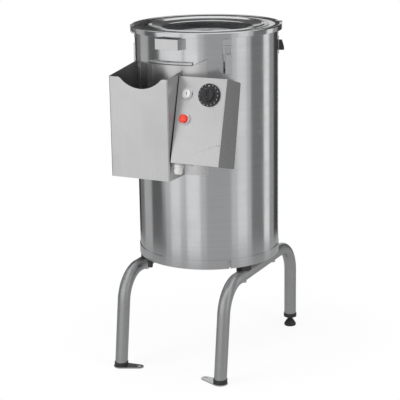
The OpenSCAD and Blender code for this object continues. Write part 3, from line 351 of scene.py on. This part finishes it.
def casting(name, tint, rough, metallic):
    """Cast or painted metal: orange peel or sand texture, and darker patches at random."""
    made, net, shader, place = start_material(name)
    sand = net.noise(place, 420.0, 4.0, 0.6)
    broad = net.ramp(net.noise(place, 24.0, 4.0), 0.3, 0.7)
    dark = tuple(0.7 * t for t in tint) + (1,)
    net.put(shader.inputs["Base Color"], net.mix(broad, dark, tuple(tint) + (1,)))
    net.put(shader.inputs["Roughness"], net.math("ADD", rough, net.math("MULTIPLY", broad, 0.1)))
    shader.inputs["Metallic"].default_value = metallic
    net.put(shader.inputs["Normal"], net.add("ShaderNodeBump", {
        "Strength": 0.35, "Distance": 0.0006, "Height": sand}).outputs[0])
    return made


def window_plastic():
    """Clear polycarbonate: a thin tint, faint smears in its gloss, and moulding waves."""
    made, net, shader, place = start_material("Clear window")
    worn = use(net, "handling", {"Vector": place, "Scale": 12.0})
    tint = net.mix(worn["Smear"], (0.9, 0.93, 0.95, 1), (0.82, 0.86, 0.88, 1))
    net.put(shader.inputs["Base Color"], tint)
    smear = net.math("MULTIPLY", worn["Smear"], 0.06)
    net.put(shader.inputs["Roughness"], net.math("ADD", 0.03, smear))
    shader.inputs["Transmission Weight"].default_value = 1.0
    shader.inputs["IOR"].default_value = 1.5
    net.put(shader.inputs["Normal"], net.add("ShaderNodeBump", {
        "Strength": 0.05, "Distance": 0.0005, "Height": net.noise(place, 14.0)}).outputs[0])
    return made


def grit():
    """Silicon carbide grit: dark angular grains with glinting faces."""
    made, net, shader, place = start_material("Abrasive grit")
    cells = net.add("ShaderNodeTexVoronoi", {"Vector": place, "Scale": 380.0})
    shade = net.add("ShaderNodeSeparateColor", {0: cells.outputs["Color"]}).outputs[0]
    net.put(shader.inputs["Base Color"],
            net.mix(shade, (0.03, 0.03, 0.032, 1), (0.2, 0.2, 0.21, 1)))
    net.put(shader.inputs["Roughness"], net.math("ADD", 0.35, net.math("MULTIPLY", shade, 0.4)))
    net.put(shader.inputs["Normal"], net.add("ShaderNodeBump", {
        "Strength": 0.8, "Distance": 0.001, "Height": cells.outputs["Distance"]}).outputs[0])
    return made


def make_materials():
    """All the finishes by the record's slot name, and beside them stop_mark and the control box's
    steel, a darker copy of the sheet steel that paints shade.
    """
    GROUPS.update(make_groups())
    look = finish()
    MATERIALS.update({
        "drum_steel": steel("Drum steel", look.drum_tint, look.drum_rough,
                            (5.0, 1500.0, 1500.0), 0.02, around=True, stretch=0.45),
        "sheet_steel": steel("Sheet steel", look.sheet_tint, look.sheet_rough, SHEET_GRAIN, 0.05),
        # painted shade: a darker copy of the sheet steel for the control box, for the shade on its
        # sides
        "shaded_box_steel": steel("Box steel with painted shade", BOX_SHADE_TINT, 0.24, SHEET_GRAIN, 0.05),
        "tube_steel": steel("Tube steel", look.tube_tint, 0.38, (40.0, 500.0, 500.0), 0.1),
        "bright_steel": steel("Bright steel", (0.74, 0.74, 0.745), 0.16,
                              (60.0, 800.0, 800.0), 0.06),
        "black_plastic": plastic("Black plastic", look.black, 0.42),
        "black_rubber": plastic("Black rubber", (0.022, 0.022, 0.022), 0.7, 0.3, dust=0.15),
        "clear_window": window_plastic(),
        "grey_nylon": plastic("Pale nylon", (0.6, 0.6, 0.58), 0.5),
        "red_plastic": plastic("Red plastic", look.red, 0.28, 0.04, coat=0.3, dust=0.03),
        "white_plastic": plastic("White plastic", look.white, 0.3, 0.04, coat=0.3, dust=0.03),
        "motor_paint": casting("Motor paint", (0.16, 0.2, 0.24), 0.4, 0.0),
        "cast_iron": casting("Casting", (0.3, 0.3, 0.31), 0.45, 0.9),
        "aluminium": steel("Turned aluminium", (0.72, 0.72, 0.74), 0.3, (20.0, 20.0, 900.0), 0.12),
        "abrasive": grit(),
        "stop_mark": plastic("Stop mark", (0.85, 0.2, 0.05), 0.3, 0.04, coat=0.3, dust=0.0),
    })


# ---- meshes ----

def piece(name, points, faces, material, body, slot=None):
    """A smooth mesh object at the origin from arrays of points (metres) and quads or triangles.
    It rides on a CAD body and takes the material of that name. The slot argument is not used."""
    points = np.asarray(points, float).reshape(-1, 3)
    faces = np.asarray(faces, int)
    sides = faces.shape[1]
    mesh = bpy.data.meshes.new(name)
    mesh.vertices.add(len(points))
    mesh.vertices.foreach_set("co", points.astype(np.float32).ravel())
    mesh.loops.add(faces.size)
    mesh.loops.foreach_set("vertex_index", faces.ravel())
    mesh.polygons.add(len(faces))
    mesh.polygons.foreach_set("loop_start", np.arange(len(faces)) * sides)
    mesh.polygons.foreach_set("use_smooth", np.full(len(faces), True))
    mesh.update(calc_edges=True)
    mesh.validate()
    made = bpy.data.objects.new(name, mesh)
    bpy.context.scene.collection.objects.link(made)
    mesh.materials.append(MATERIALS[material])
    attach(made, body)
    return made


def grid_faces(rows, cols, close_rows=False, close_cols=False):
    """Quads of a grid of rows by cols points, joined round where a direction closes."""
    i = np.arange(rows if close_rows else rows - 1)
    j = np.arange(cols if close_cols else cols - 1)
    a, b = np.meshgrid(i, j, indexing="ij")
    a, b = a.ravel(), b.ravel()
    c, d = (a + 1) % rows, (b + 1) % cols
    return np.stack([a * cols + b, c * cols + b, c * cols + d, a * cols + d], 1)


def join(parts):
    """Several (points, faces) pairs as one."""
    base, points, faces = 0, [], []
    for p, f in parts:
        p = np.asarray(p, float).reshape(-1, 3)
        points.append(p)
        faces.append(np.asarray(f) + base)
        base += len(p)
    return np.concatenate(points), np.concatenate(faces)


def outline(corners, radius=0.4, steps=4):
    """A closed (r, z) outline in millimetres with each corner rounded: each corner becomes an arc
    that runs between the points a radius's reach before and after it, as a quadratic curve."""
    c = np.asarray(corners, float)
    before, after = np.roll(c, 1, 0) - c, np.roll(c, -1, 0) - c
    lb, la = np.linalg.norm(before, axis=1), np.linalg.norm(after, axis=1)
    reach = np.minimum(radius, 0.45 * np.minimum(lb, la))[:, None]
    p, q = c + before / lb[:, None] * reach, c + after / la[:, None] * reach
    t = np.linspace(0, 1, steps)[None, :, None]
    curve = (1 - t) ** 2 * p[:, None] + 2 * t * (1 - t) * c[:, None] + t ** 2 * q[:, None]
    return curve.reshape(-1, 2)


def outline_open(corners, radius=0.4, steps=4):
    """As outline, for an open line: its two ends stay where they are."""
    c = np.asarray(corners, float)
    inner = outline(c, radius, steps).reshape(len(c), steps, 2)[1:-1].reshape(-1, 2)
    return np.concatenate([c[:1], inner, c[-1:]])


def revolve(profile, steps=128):
    """Points and quads of a closed profile of (r, z) turned about the vertical axis:
    (r cos a, r sin a, z), for a over the full turn."""
    profile = np.asarray(profile, float)
    a = np.linspace(0, 2 * math.pi, steps, endpoint=False)
    r, z = profile[:, 0][:, None], profile[:, 1][:, None]
    points = np.stack([r * np.cos(a), r * np.sin(a), z + 0 * a], -1)
    return points * MM, grid_faces(len(profile), steps, True, True)


def cap(rings, turned=False):
    """Points and triangles of rings (rows by columns) joined in order, with the first and the last
    closed by a fan about its middle point. turned winds the fans the other way round."""
    rows, columns = rings.shape[:2]
    quads = grid_faces(rows, columns, False, True)
    j = np.arange(columns)
    k = (j + 1) % columns
    if turned:
        j, k = k, j
    last = (rows - 1) * columns
    low = np.full(columns, rows * columns)
    triangles = np.concatenate([
        quads[:, [0, 1, 2]], quads[:, [0, 2, 3]],
        np.stack([j, k, low], 1), np.stack([last + k, last + j, low + 1], 1)])
    return np.concatenate([rings.reshape(-1, 3), rings[[0, -1]].mean(1)]), triangles


def capped_revolve(profile, steps=96):
    """A body turned from an open profile whose ends lie near the axis, AXIS_R from it."""
    return cap(revolve(profile, steps)[0].reshape(len(profile), steps, 3))


def outward(made):
    """Turns a closed mesh's faces outwards where its signed volume is negative."""
    mesh = made.data
    mesh.calc_loop_triangles()
    co = np.zeros(len(mesh.vertices) * 3, np.float32)
    mesh.vertices.foreach_get("co", co)
    co = co.reshape(-1, 3).astype(float)
    tri = np.zeros(len(mesh.loop_triangles) * 3, np.int32)
    mesh.loop_triangles.foreach_get("vertices", tri)
    a, b, c = (co[tri.reshape(-1, 3)[:, i]] for i in range(3))
    if np.einsum("ij,ij->i", a, np.cross(b, c)).sum() < 0:
        mesh.flip_normals()
    return made


def stand_on_panel(points, x, down):
    """Takes points made about the vertical axis (metres) and stands them on the panel at a place
    given from its top left corner (mm): their Z runs square out of the panel, their X along it and
    their Y up it."""
    lean = math.radians(PANEL_LEAN)
    along = np.array([1.0, 0, 0])
    up = np.array([0, math.sin(lean), math.cos(lean)])
    normal = np.array([0, -math.cos(lean), math.sin(lean)])
    place = (np.array(PANEL_FOOT) + x * along + (PANEL_H - down) * up) * MM
    p = points.reshape(-1, 3)
    return place + p[:, :1] * along + p[:, 1:2] * up + p[:, 2:3] * normal


def shading_group():
    """Geometry nodes that join a CAD node's loose triangles and shade it smooth, but for the edges
    sharper than the angle given."""
    tree = bpy.data.node_groups.new("Smooth but for edges", "GeometryNodeTree")
    tree.interface.new_socket("Geometry", in_out="INPUT", socket_type="NodeSocketGeometry")
    angle = tree.interface.new_socket("Angle", in_out="INPUT", socket_type="NodeSocketFloat")
    angle.default_value = SHARP_ANGLE
    tree.interface.new_socket("Geometry", in_out="OUTPUT", socket_type="NodeSocketGeometry")
    net = Net(tree)
    given = net.add("NodeGroupInput").outputs
    merged = net.add("GeometryNodeMergeByDistance",
                     {"Geometry": given["Geometry"], "Distance": WELD_DISTANCE})
    smooth = net.add("GeometryNodeSetShadeSmooth", {"Geometry": merged.outputs[0]}, domain="FACE")
    edge = net.add("GeometryNodeInputMeshEdgeAngle").outputs[0]
    sharp = net.add("FunctionNodeCompare", {0: edge, 1: given["Angle"]}, data_type="FLOAT",
                    operation="GREATER_THAN").outputs[0]
    split = net.add("GeometryNodeSetShadeSmooth",
                    {"Geometry": smooth.outputs[0], "Selection": sharp, "Shade Smooth": False},
                    domain="EDGE")
    end = net.add("NodeGroupOutput")
    net.put(end.inputs[0], split.outputs[0])
    return tree


# ---- operators: the frame's own nodes ----

BEVELLED = (
    "discharge_chute", "control_box", "control_panel", "splash_plate", "collar_handle",
    "latch_strikes", "latch_bases", "floor_tabs", "clamp_band", "base_plate", "switch_bracket",
    "latch_lever_1", "latch_lever_2", "latch_lever_3", "stand_pads", "leg_caps", "lid_clips",
    "levelling_foot")

# Nodes whose finish differs from the others of their slot: the control box's darker steel is
# painted shade.
PAINTED_SHADE_FINISH = {"control_box": "shaded_box_steel"}


class PEELER_OT_nodes(bpy.types.Operator):
    """Gives every CAD node its finish and smooth shading, the listed ones slightly rounded edges,
    and the control box a darker copy of the sheet steel that paints shade
    """
    bl_idname = "peeler.nodes"
    bl_label = "Finish the solids"

    def execute(self, context):
        make_materials()
        tree = shading_group()
        slots = {row["node"]: row["material_slot"] for row in frame["record"]["subparts"]}
        for name, node in frame["nodes"].items():
            node.data.materials.clear()
            node.data.materials.append(MATERIALS[PAINTED_SHADE_FINISH.get(name, slots[name])])
            if name in BEVELLED:
                weld = node.modifiers.new("Join", "WELD")
                weld.merge_threshold = WELD_DISTANCE
                bevel = node.modifiers.new("Round edges", "BEVEL")
                bevel.limit_method = "ANGLE"
                bevel.angle_limit = BEVEL_ANGLE
                bevel.width = sizes().edge_round
                bevel.segments = 2
                bevel.use_clamp_overlap = True
            shade = node.modifiers.new("Shading", "NODES")
            shade.node_group = tree
            if name in BEVELLED:
                even = node.modifiers.new("Even shading", "WEIGHTED_NORMAL")
                even.keep_sharp = True
        return {"FINISHED"}


# ---- operators: the studio ----

# Light walls round the machine, seen only in its metal: from azimuth, to azimuth (degrees from the
# front towards +X), level
WALLS = (
    (-98, -74, 0.5), (-74, -44, 0.14), (-44, -34, 0.45), (-34, -18, 0.86), (-18, -7, 0.55),
    (-7, 13, 0.95), (13, 22, 0.6), (22, 60, 0.44), (60, 70, 0.64), (70, 86, 0.86), (86, 94, 0.6),
    (94, 121, 0.22), (121, 136, 0.95), (136, 152, 0.36), (152, 178, 0.06), (178, 214, 0.9),
    (214, 243, 0.04), (243, 262, 0.2),
)
WALL_R = 1.12
WALL_START = -82  # degrees, the azimuth of its first column
WALL_HEIGHTS = (0.0, 0.7, 1.0, 1.06, 1.45, 1.75)
WALL_COLUMNS = 720
BACK_HALF_WIDTH = 75  # degrees either side of the back, dark from the wall's fourth row up
BACK_LEVEL = 0.1
PANEL_TURN = (-50, -10)  # degrees, where the second to fourth rows light the panel
PANEL_LEVEL = 0.95

CAMERA_PLACE = (1.4203, -2.9121, 1.2652)
LAMP_TARGET = (0, 0, 0.5)
TOP_POWER = 18.0
FLOOR_COLUMNS = 48
FLOOR_IN_METAL = 0.42  # the floor's level as the metal sees it; the camera sees it at 1
AMBIENT = (0.55, 0.55, 0.56, 1)
WHITE = (1, 1, 1, 1)


def wall_levels(azimuth, soft=2.5):
    """The level at each azimuth: the walls' levels, with a smooth step at each border."""
    level = np.zeros_like(azimuth)
    for start, end, value in WALLS:
        for turn in (-360, 0, 360):
            a = np.clip((azimuth - (start + turn)) / soft + 0.5, 0, 1)
            b = np.clip((azimuth - (end + turn)) / soft + 0.5, 0, 1)
            level += value * (a * a * (3 - 2 * a) - b * b * (3 - 2 * b))
    return level


class PEELER_OT_stage(bpy.types.Operator):
    """Makes the floor, the light walls, the lamps, the world and the camera"""
    bl_idname = "peeler.stage"
    bl_label = "Studio"

    def execute(self, context):
        scene = context.scene
        setting = studio()
        scene.view_settings.view_transform = "Standard"
        self.make_floor(setting)
        self.make_walls()
        self.make_world(scene)
        self.lamp("Main lamp", (-1.7, -2.2, 2.3), (1.6, 1.6), setting.key_power)
        self.lamp("Side lamp", (2.4, -0.8, 1.5), (0.9, 1.6), setting.fill_power)
        self.lamp("Top lamp", (0.1, 0.2, 3.0), (1.8, 1.8), TOP_POWER)
        self.make_camera(scene, setting)
        return {"FINISHED"}

    def stage_mesh(self, name, points):
        """A stage object from a grid of points (metres) whose columns close round."""
        rows, columns = points.shape[:2]
        mesh = bpy.data.meshes.new(name)
        mesh.from_pydata(points.reshape(-1, 3).tolist(), [],
                         grid_faces(rows, columns, False, True).tolist())
        made = bpy.data.objects.new(name, mesh)
        bpy.context.scene.collection.objects.link(made)
        return made

    def make_floor(self, setting):
        """A pale round floor. Only diffuse rays and the shadow's place see its paint; elsewhere it
        is white to the camera and a middle grey to the metal."""
        r = np.array([0.0001, 0.5, 2.0, 8.0])
        a = np.linspace(0, 2 * math.pi, FLOOR_COLUMNS, endpoint=False)
        floor = self.stage_mesh("Floor", np.stack(
            [r[:, None] * np.cos(a), r[:, None] * np.sin(a), 0 * r[:, None] * a - 0.0002], -1))
        made = bpy.data.materials.new("Floor paint")
        made.use_nodes = True
        net = Net(made.node_tree)
        tree = made.node_tree
        paint = tree.nodes["Principled BSDF"]
        paint.inputs["Roughness"].default_value = 0.9
        paint.inputs["Specular IOR Level"].default_value = 0.0
        tint = setting.floor_tint
        paint.inputs["Base Color"].default_value = (tint, tint, tint, 1)
        path, seen = self.seen_rays(net)
        level = net.ramp(path["Is Glossy Ray"], 0.0, 1.0, 1.0, FLOOR_IN_METAL)
        lift = net.add("ShaderNodeEmission", {"Color": WHITE, "Strength": level})
        place = net.add("ShaderNodeTexCoord").outputs["Object"]
        far = net.add("ShaderNodeVectorMath", {0: place}, operation="LENGTH").outputs["Value"]
        away = net.ramp(far, 0.3, 0.62, 0.9, 1.0)
        blend = net.add("ShaderNodeMixShader", {0: net.math("MULTIPLY", seen, away),
                                                1: paint.outputs[0], 2: lift.outputs[0]})
        net.put(tree.nodes["Material Output"].inputs["Surface"], blend.outputs[0])
        floor.data.materials.append(made)

    def make_walls(self):
        """A round wall of light about the machine, which only glossy and transmission rays see. Its
        level follows WALLS by azimuth; above the lid's height it is dark at the back, and the rows
        that the leaning panel sees are bright."""
        azimuth = np.linspace(WALL_START, WALL_START + 360, WALL_COLUMNS + 1)[:-1]
        a = np.radians(azimuth)
        points = np.empty((len(WALL_HEIGHTS), WALL_COLUMNS, 3))
        points[..., 0] = WALL_R * np.sin(a)
        points[..., 1] = -WALL_R * np.cos(a)
        points[..., 2] = np.array(WALL_HEIGHTS)[:, None]
        level = np.repeat(wall_levels(azimuth)[None], len(WALL_HEIGHTS), 0)
        level[3:, np.abs(azimuth % 360 - 180) < BACK_HALF_WIDTH] = BACK_LEVEL
        panel_side = (azimuth > PANEL_TURN[0]) & (azimuth < PANEL_TURN[1])
        level[1:4, panel_side] = np.maximum(level[1:4, panel_side], PANEL_LEVEL)
        wall = self.stage_mesh("Light wall", points)
        layer = wall.data.attributes.new("level", "FLOAT", "POINT")
        layer.data.foreach_set("value", level.ravel().astype(np.float32))
        for ray in ("camera", "diffuse", "shadow", "volume_scatter"):
            setattr(wall, f"visible_{ray}", False)
        made = bpy.data.materials.new("Light wall")
        made.use_nodes = True
        net = Net(made.node_tree)
        made.node_tree.nodes.remove(made.node_tree.nodes["Principled BSDF"])
        value = net.add("ShaderNodeAttribute", attribute_name="level").outputs["Fac"]
        glow = net.add("ShaderNodeEmission", {"Strength": value})
        net.put(made.node_tree.nodes["Material Output"].inputs["Surface"], glow.outputs[0])
        wall.data.materials.append(made)

    def seen_rays(self, net):
        """The light path's outputs, and a mask of camera, glossy and transmission rays."""
        path = net.add("ShaderNodeLightPath").outputs
        bent = net.math("MAXIMUM", path["Is Glossy Ray"], path["Is Transmission Ray"])
        return path, net.math("MAXIMUM", path["Is Camera Ray"], bent)

    def make_world(self, scene):
        world = bpy.data.worlds.new("Studio")
        scene.world = world
        world.use_nodes = True
        net = Net(world.node_tree)
        seen = self.seen_rays(net)[1]
        background = world.node_tree.nodes["Background"]
        net.put(background.inputs["Color"], net.mix(seen, AMBIENT, WHITE))

    def lamp(self, name, place, size, power):
        light = bpy.data.lights.new(name, "AREA")
        light.shape = "RECTANGLE"
        light.size, light.size_y = size
        light.energy = power
        made = bpy.data.objects.new(name, light)
        made.location = place
        aim = Vector(LAMP_TARGET) - Vector(place)
        made.rotation_euler = aim.to_track_quat("-Z", "Y").to_euler()
        made.visible_glossy = False
        bpy.context.scene.collection.objects.link(made)

    def make_camera(self, scene, setting):
        data = bpy.data.cameras.new("Camera")
        data.lens = setting.lens
        data.sensor_width = 36.0
        data.clip_end = 50
        made = bpy.data.objects.new("Camera", data)
        scene.collection.objects.link(made)
        turn = (Matrix.Rotation(setting.heading, 4, "Z")
                @ Matrix.Rotation(math.pi / 2 - setting.tilt, 4, "X")
                @ Matrix.Rotation(setting.roll, 4, "Z"))
        made.matrix_world = Matrix.Translation(CAMERA_PLACE) @ turn
        scene.camera = made


# ---- operators: pieces ----

def on_panel_piece(name, parts, x, drop, material, body, replaced=None, slot=None):
    """A piece joined from parts (points in metres, faces) about the vertical axis, stood on the
    panel."""
    points, faces = join(parts)
    made = outward(piece(name, stand_on_panel(points, x, drop), faces, material, body, slot))
    if replaced:
        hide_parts(replaced)


def round_box(x1, x2, y1, y2, z1, z2, r):
    """A box with rounded upright edges and a domed rim, in millimetres: a superellipse of power 8
    in plan, drawn in by r at its top, as rings joined from the foot to the middle of the top."""
    a = np.linspace(0, 2 * math.pi, 64, endpoint=False)
    c, s = np.cos(a), np.sin(a)
    power = 2 / 8
    cx, cy = np.sign(c) * np.abs(c) ** power, np.sign(s) * np.abs(s) ** power
    mid, half = ((x1 + x2) / 2, (y1 + y2) / 2), ((x2 - x1) / 2, (y2 - y1) / 2)
    t = np.linspace(0, math.pi / 2, 4)
    middle = half[0] * (1 - MIDDLE_SHARE)
    inset = np.concatenate([[middle], [0], r * (1 - np.cos(t)), [middle]])
    height = np.concatenate([[z1], [z1], z2 - r + r * np.sin(t), [z2]])
    k = 1 - inset / half[0]
    m = np.maximum(1 - inset / half[1], MIDDLE_SHARE)
    rings = np.stack([mid[0] + half[0] * k[:, None] * cx, mid[1] + half[1] * m[:, None] * cy,
                      np.repeat(height[:, None], len(a), 1)], -1)
    return cap(rings * MM, turned=True)


class PEELER_OT_timer(bpy.types.Operator):
    """Makes the timer knob with its grip, its ticks, its pointer dot and dash"""
    bl_idname = "peeler.timer"
    bl_label = "Timer knob"

    def execute(self, context):
        r = TIMER_R
        body = outline_open([
            (AXIS_R, 1.5), (r, 1.5), (r, 4.6), (r - 1.6, 6.2), (18.6, 7.0), (17.2, 7.6),
            (16.2, 14.6), (15.0, 15.6), (AXIS_R, 15.9)], 0.5)
        points, faces = capped_revolve(body, steps=192)
        radius = np.hypot(points[:, 0], points[:, 1])
        angle = np.arctan2(points[:, 1], points[:, 0])
        side = (radius > 0.0150) & (radius < 0.0176)
        groove = 0.5 + 0.5 * np.cos(KNURLS * angle[side])
        points[side, :2] *= (1 - KNURL_DEPTH * groove)[:, None]
        grip = round_box(-4.2, 4.2, -14.5, 14.5, 15.5, 17.0, 0.8)
        shaft = capped_revolve([(AXIS_R, -2.0), (3.0, -2.0), (3.0, 3.0), (AXIS_R, 3.0)])
        on_panel_piece("timer_dial", [(points, faces), grip, shaft], TIMER_X, TIMER_DROP,
                       "black_plastic", "knob", "timer_knob")
        self.make_marks()
        return {"FINISHED"}

    def make_marks(self):
        """White ticks on the skirt's slope at equal turns, a dot in the place of the top one, and a
        dash beside the grip."""
        count, length = sizes().tick_count, sizes().tick_length / MM
        inner = TIMER_R - 1.9 - length
        tick, faces = round_box(-0.55, 0.55, inner, TIMER_R - 1.9, 5.6, 6.75, 0.15)
        tick[:, 2] -= (tick[:, 1] / MM - inner) * 0.07 * MM
        parts = []
        for a in 2 * math.pi * np.arange(1, count) / count:
            c, s = math.cos(a), math.sin(a)
            turned = tick.copy()
            turned[:, 0] = c * tick[:, 0] - s * tick[:, 1]
            turned[:, 1] = s * tick[:, 0] + c * tick[:, 1]
            parts.append((turned, faces))
        dot, faces = capped_revolve([
            (AXIS_R, 5.9), (1.25, 5.9), (1.25, 6.85), (1.0, 7.0), (AXIS_R, 7.05)])
        parts.append((dot + np.array([0, 21.4, 0]) * MM, faces))
        parts.append(round_box(-4.96, -2.16, 12.6, 13.7, 15.6, 16.15, 0.15))
        on_panel_piece("timer_marks", parts, TIMER_X, TIMER_DROP, "white_plastic", "knob")


class PEELER_OT_buttons(bpy.types.Operator):
    """Makes the start and stop buttons and their bezels"""
    bl_idname = "peeler.buttons"
    bl_label = "Buttons"

    def execute(self, context):
        x = BUTTON_X
        start = capped_revolve(outline_open([
            (AXIS_R, -10), (9.8, -10), (9.8, 3.1), (8.9, 3.8), (AXIS_R, 3.72)], 0.5))
        on_panel_piece("start_cap", [start], x, START_DROP, "white_plastic", "start",
                       "start_button")
        bar = round_box(-0.9, 0.9, -4.4, 4.4, 3.2, 3.79, 0.1)
        on_panel_piece("start_mark", [bar], x, START_DROP, "black_plastic", "start")
        stop = capped_revolve(outline_open([
            (AXIS_R, -9), (9.8, -9), (9.8, 7.5), (10.5, 7.5), (10.5, 12.0), (9.6, 13.0),
            (5.6, 12.6), (5.2, 12.1), (AXIS_R, 12.1)], 0.6))
        on_panel_piece("stop_cap", [stop], x, STOP_DROP, "red_plastic", "stop", "stop_button")
        ring = revolve(outline([(3.1, 11.9), (3.9, 11.9), (3.9, 12.22), (3.1, 12.22)], 0.08))
        on_panel_piece("stop_mark", [ring], x, STOP_DROP, "stop_mark", "stop", slot="red_plastic")
        bezel, faces = revolve(outline([
            (9.95, -9.0), (10.95, -9.0), (10.95, 0.08), (15.0, 0.08), (15.0, 1.4), (13.8, 2.8),
            (12.6, 3.0), (11.4, 1.9), (10.6, 1.9), (9.95, 1.4)], 0.35))
        points, faces = join([(stand_on_panel(bezel, x, drop), faces)
                              for drop in (START_DROP, STOP_DROP)])
        made = outward(piece("chrome_bezels", points, faces, "bright_steel", "frame"))
        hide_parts("button_bezels")
        collar = revolve(outline([
            (10.9, 3.0), (12.4, 3.0), (12.6, 4.9), (11.6, 5.4), (10.9, 5.2)], 0.3))
        on_panel_piece("stop_collar", [collar], x, STOP_DROP, "white_plastic", "frame")
        return {"FINISHED"}


class PEELER_OT_lid(bpy.types.Operator):
    """Makes the lid's ring with its raised rims and the steel funnel above the window"""
    bl_idname = "peeler.lid"
    bl_label = "Lid"

    def execute(self, context):
        rim = outline([
            (190.0, 841.4), (190.0, 852.4), (188.6, 854.6), (186.2, 855.1), (183.6, 854.3),
            (181.8, 852.9), (150.0, 852.5), (148.2, 853.5), (146.4, 854.9), (144.6, 855.0),
            (143.1, 853.8), (144.4, 853.65), (146.0, 853.4), (181.0, 851.4), (186.4, 852.2),
            (188.5, 850.8), (188.5, 841.4)], 1.1, 5)
        made = outward(piece("lid_rim", *revolve(rim, LID_STEPS), "drum_steel", "lid"))
        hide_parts("lid_ring")
        funnel = outline([
            (142.9, 854.6), (141.2, 853.9), (138.4, 850.1), (118.0, 845.9), (116.5, 844.9),
            (115.8, 845.6), (117.6, 846.9), (138.0, 851.2), (140.4, 854.4), (142.4, 855.05)], 0.6)
        outward(piece("lid_funnel", *revolve(funnel, LID_STEPS), "bright_steel", "lid"))
        return {"FINISHED"}


OPERATORS = (PEELER_OT_nodes, PEELER_OT_timer, PEELER_OT_buttons, PEELER_OT_lid, PEELER_OT_stage)


# ---- the add-on ----

class PEELER_PT_panel(bpy.types.Panel):
    """Lists the settings and the pieces"""
    bl_idname = "PEELER_PT_panel"
    bl_label = "Potato peeler"
    bl_space_type = "VIEW_3D"
    bl_region_type = "UI"
    bl_category = "Peeler"

    def draw(self, context):
        for group_name in GROUP_NAMES:
            box = self.layout.box()
            settings = getattr(context.scene, group_name)
            for key in settings.bl_rna.properties.keys():
                if key not in ("name", "rna_type"):
                    box.prop(settings, key)
        for operator in OPERATORS:
            self.layout.operator(operator.bl_idname)


GROUP_NAMES = {"peeler_finish": PEELER_PG_finish, "peeler_sizes": PEELER_PG_sizes,
               "peeler_studio": PEELER_PG_studio}


def register():
    for item in (*GROUP_NAMES.values(), *OPERATORS, PEELER_PT_panel):
        bpy.utils.register_class(item)
    for group_name, item in GROUP_NAMES.items():
        setattr(bpy.types.Scene, group_name, PointerProperty(type=item))


def unregister():
    for group_name in GROUP_NAMES:
        delattr(bpy.types.Scene, group_name)
    for item in (PEELER_PT_panel, *reversed(OPERATORS), *GROUP_NAMES.values()):
        bpy.utils.unregister_class(item)


def main():
    register()
    for operator in OPERATORS:
        category, name = operator.bl_idname.split(".")
        getattr(getattr(bpy.ops, category), name)()


if __name__ == "__main__":
    main()
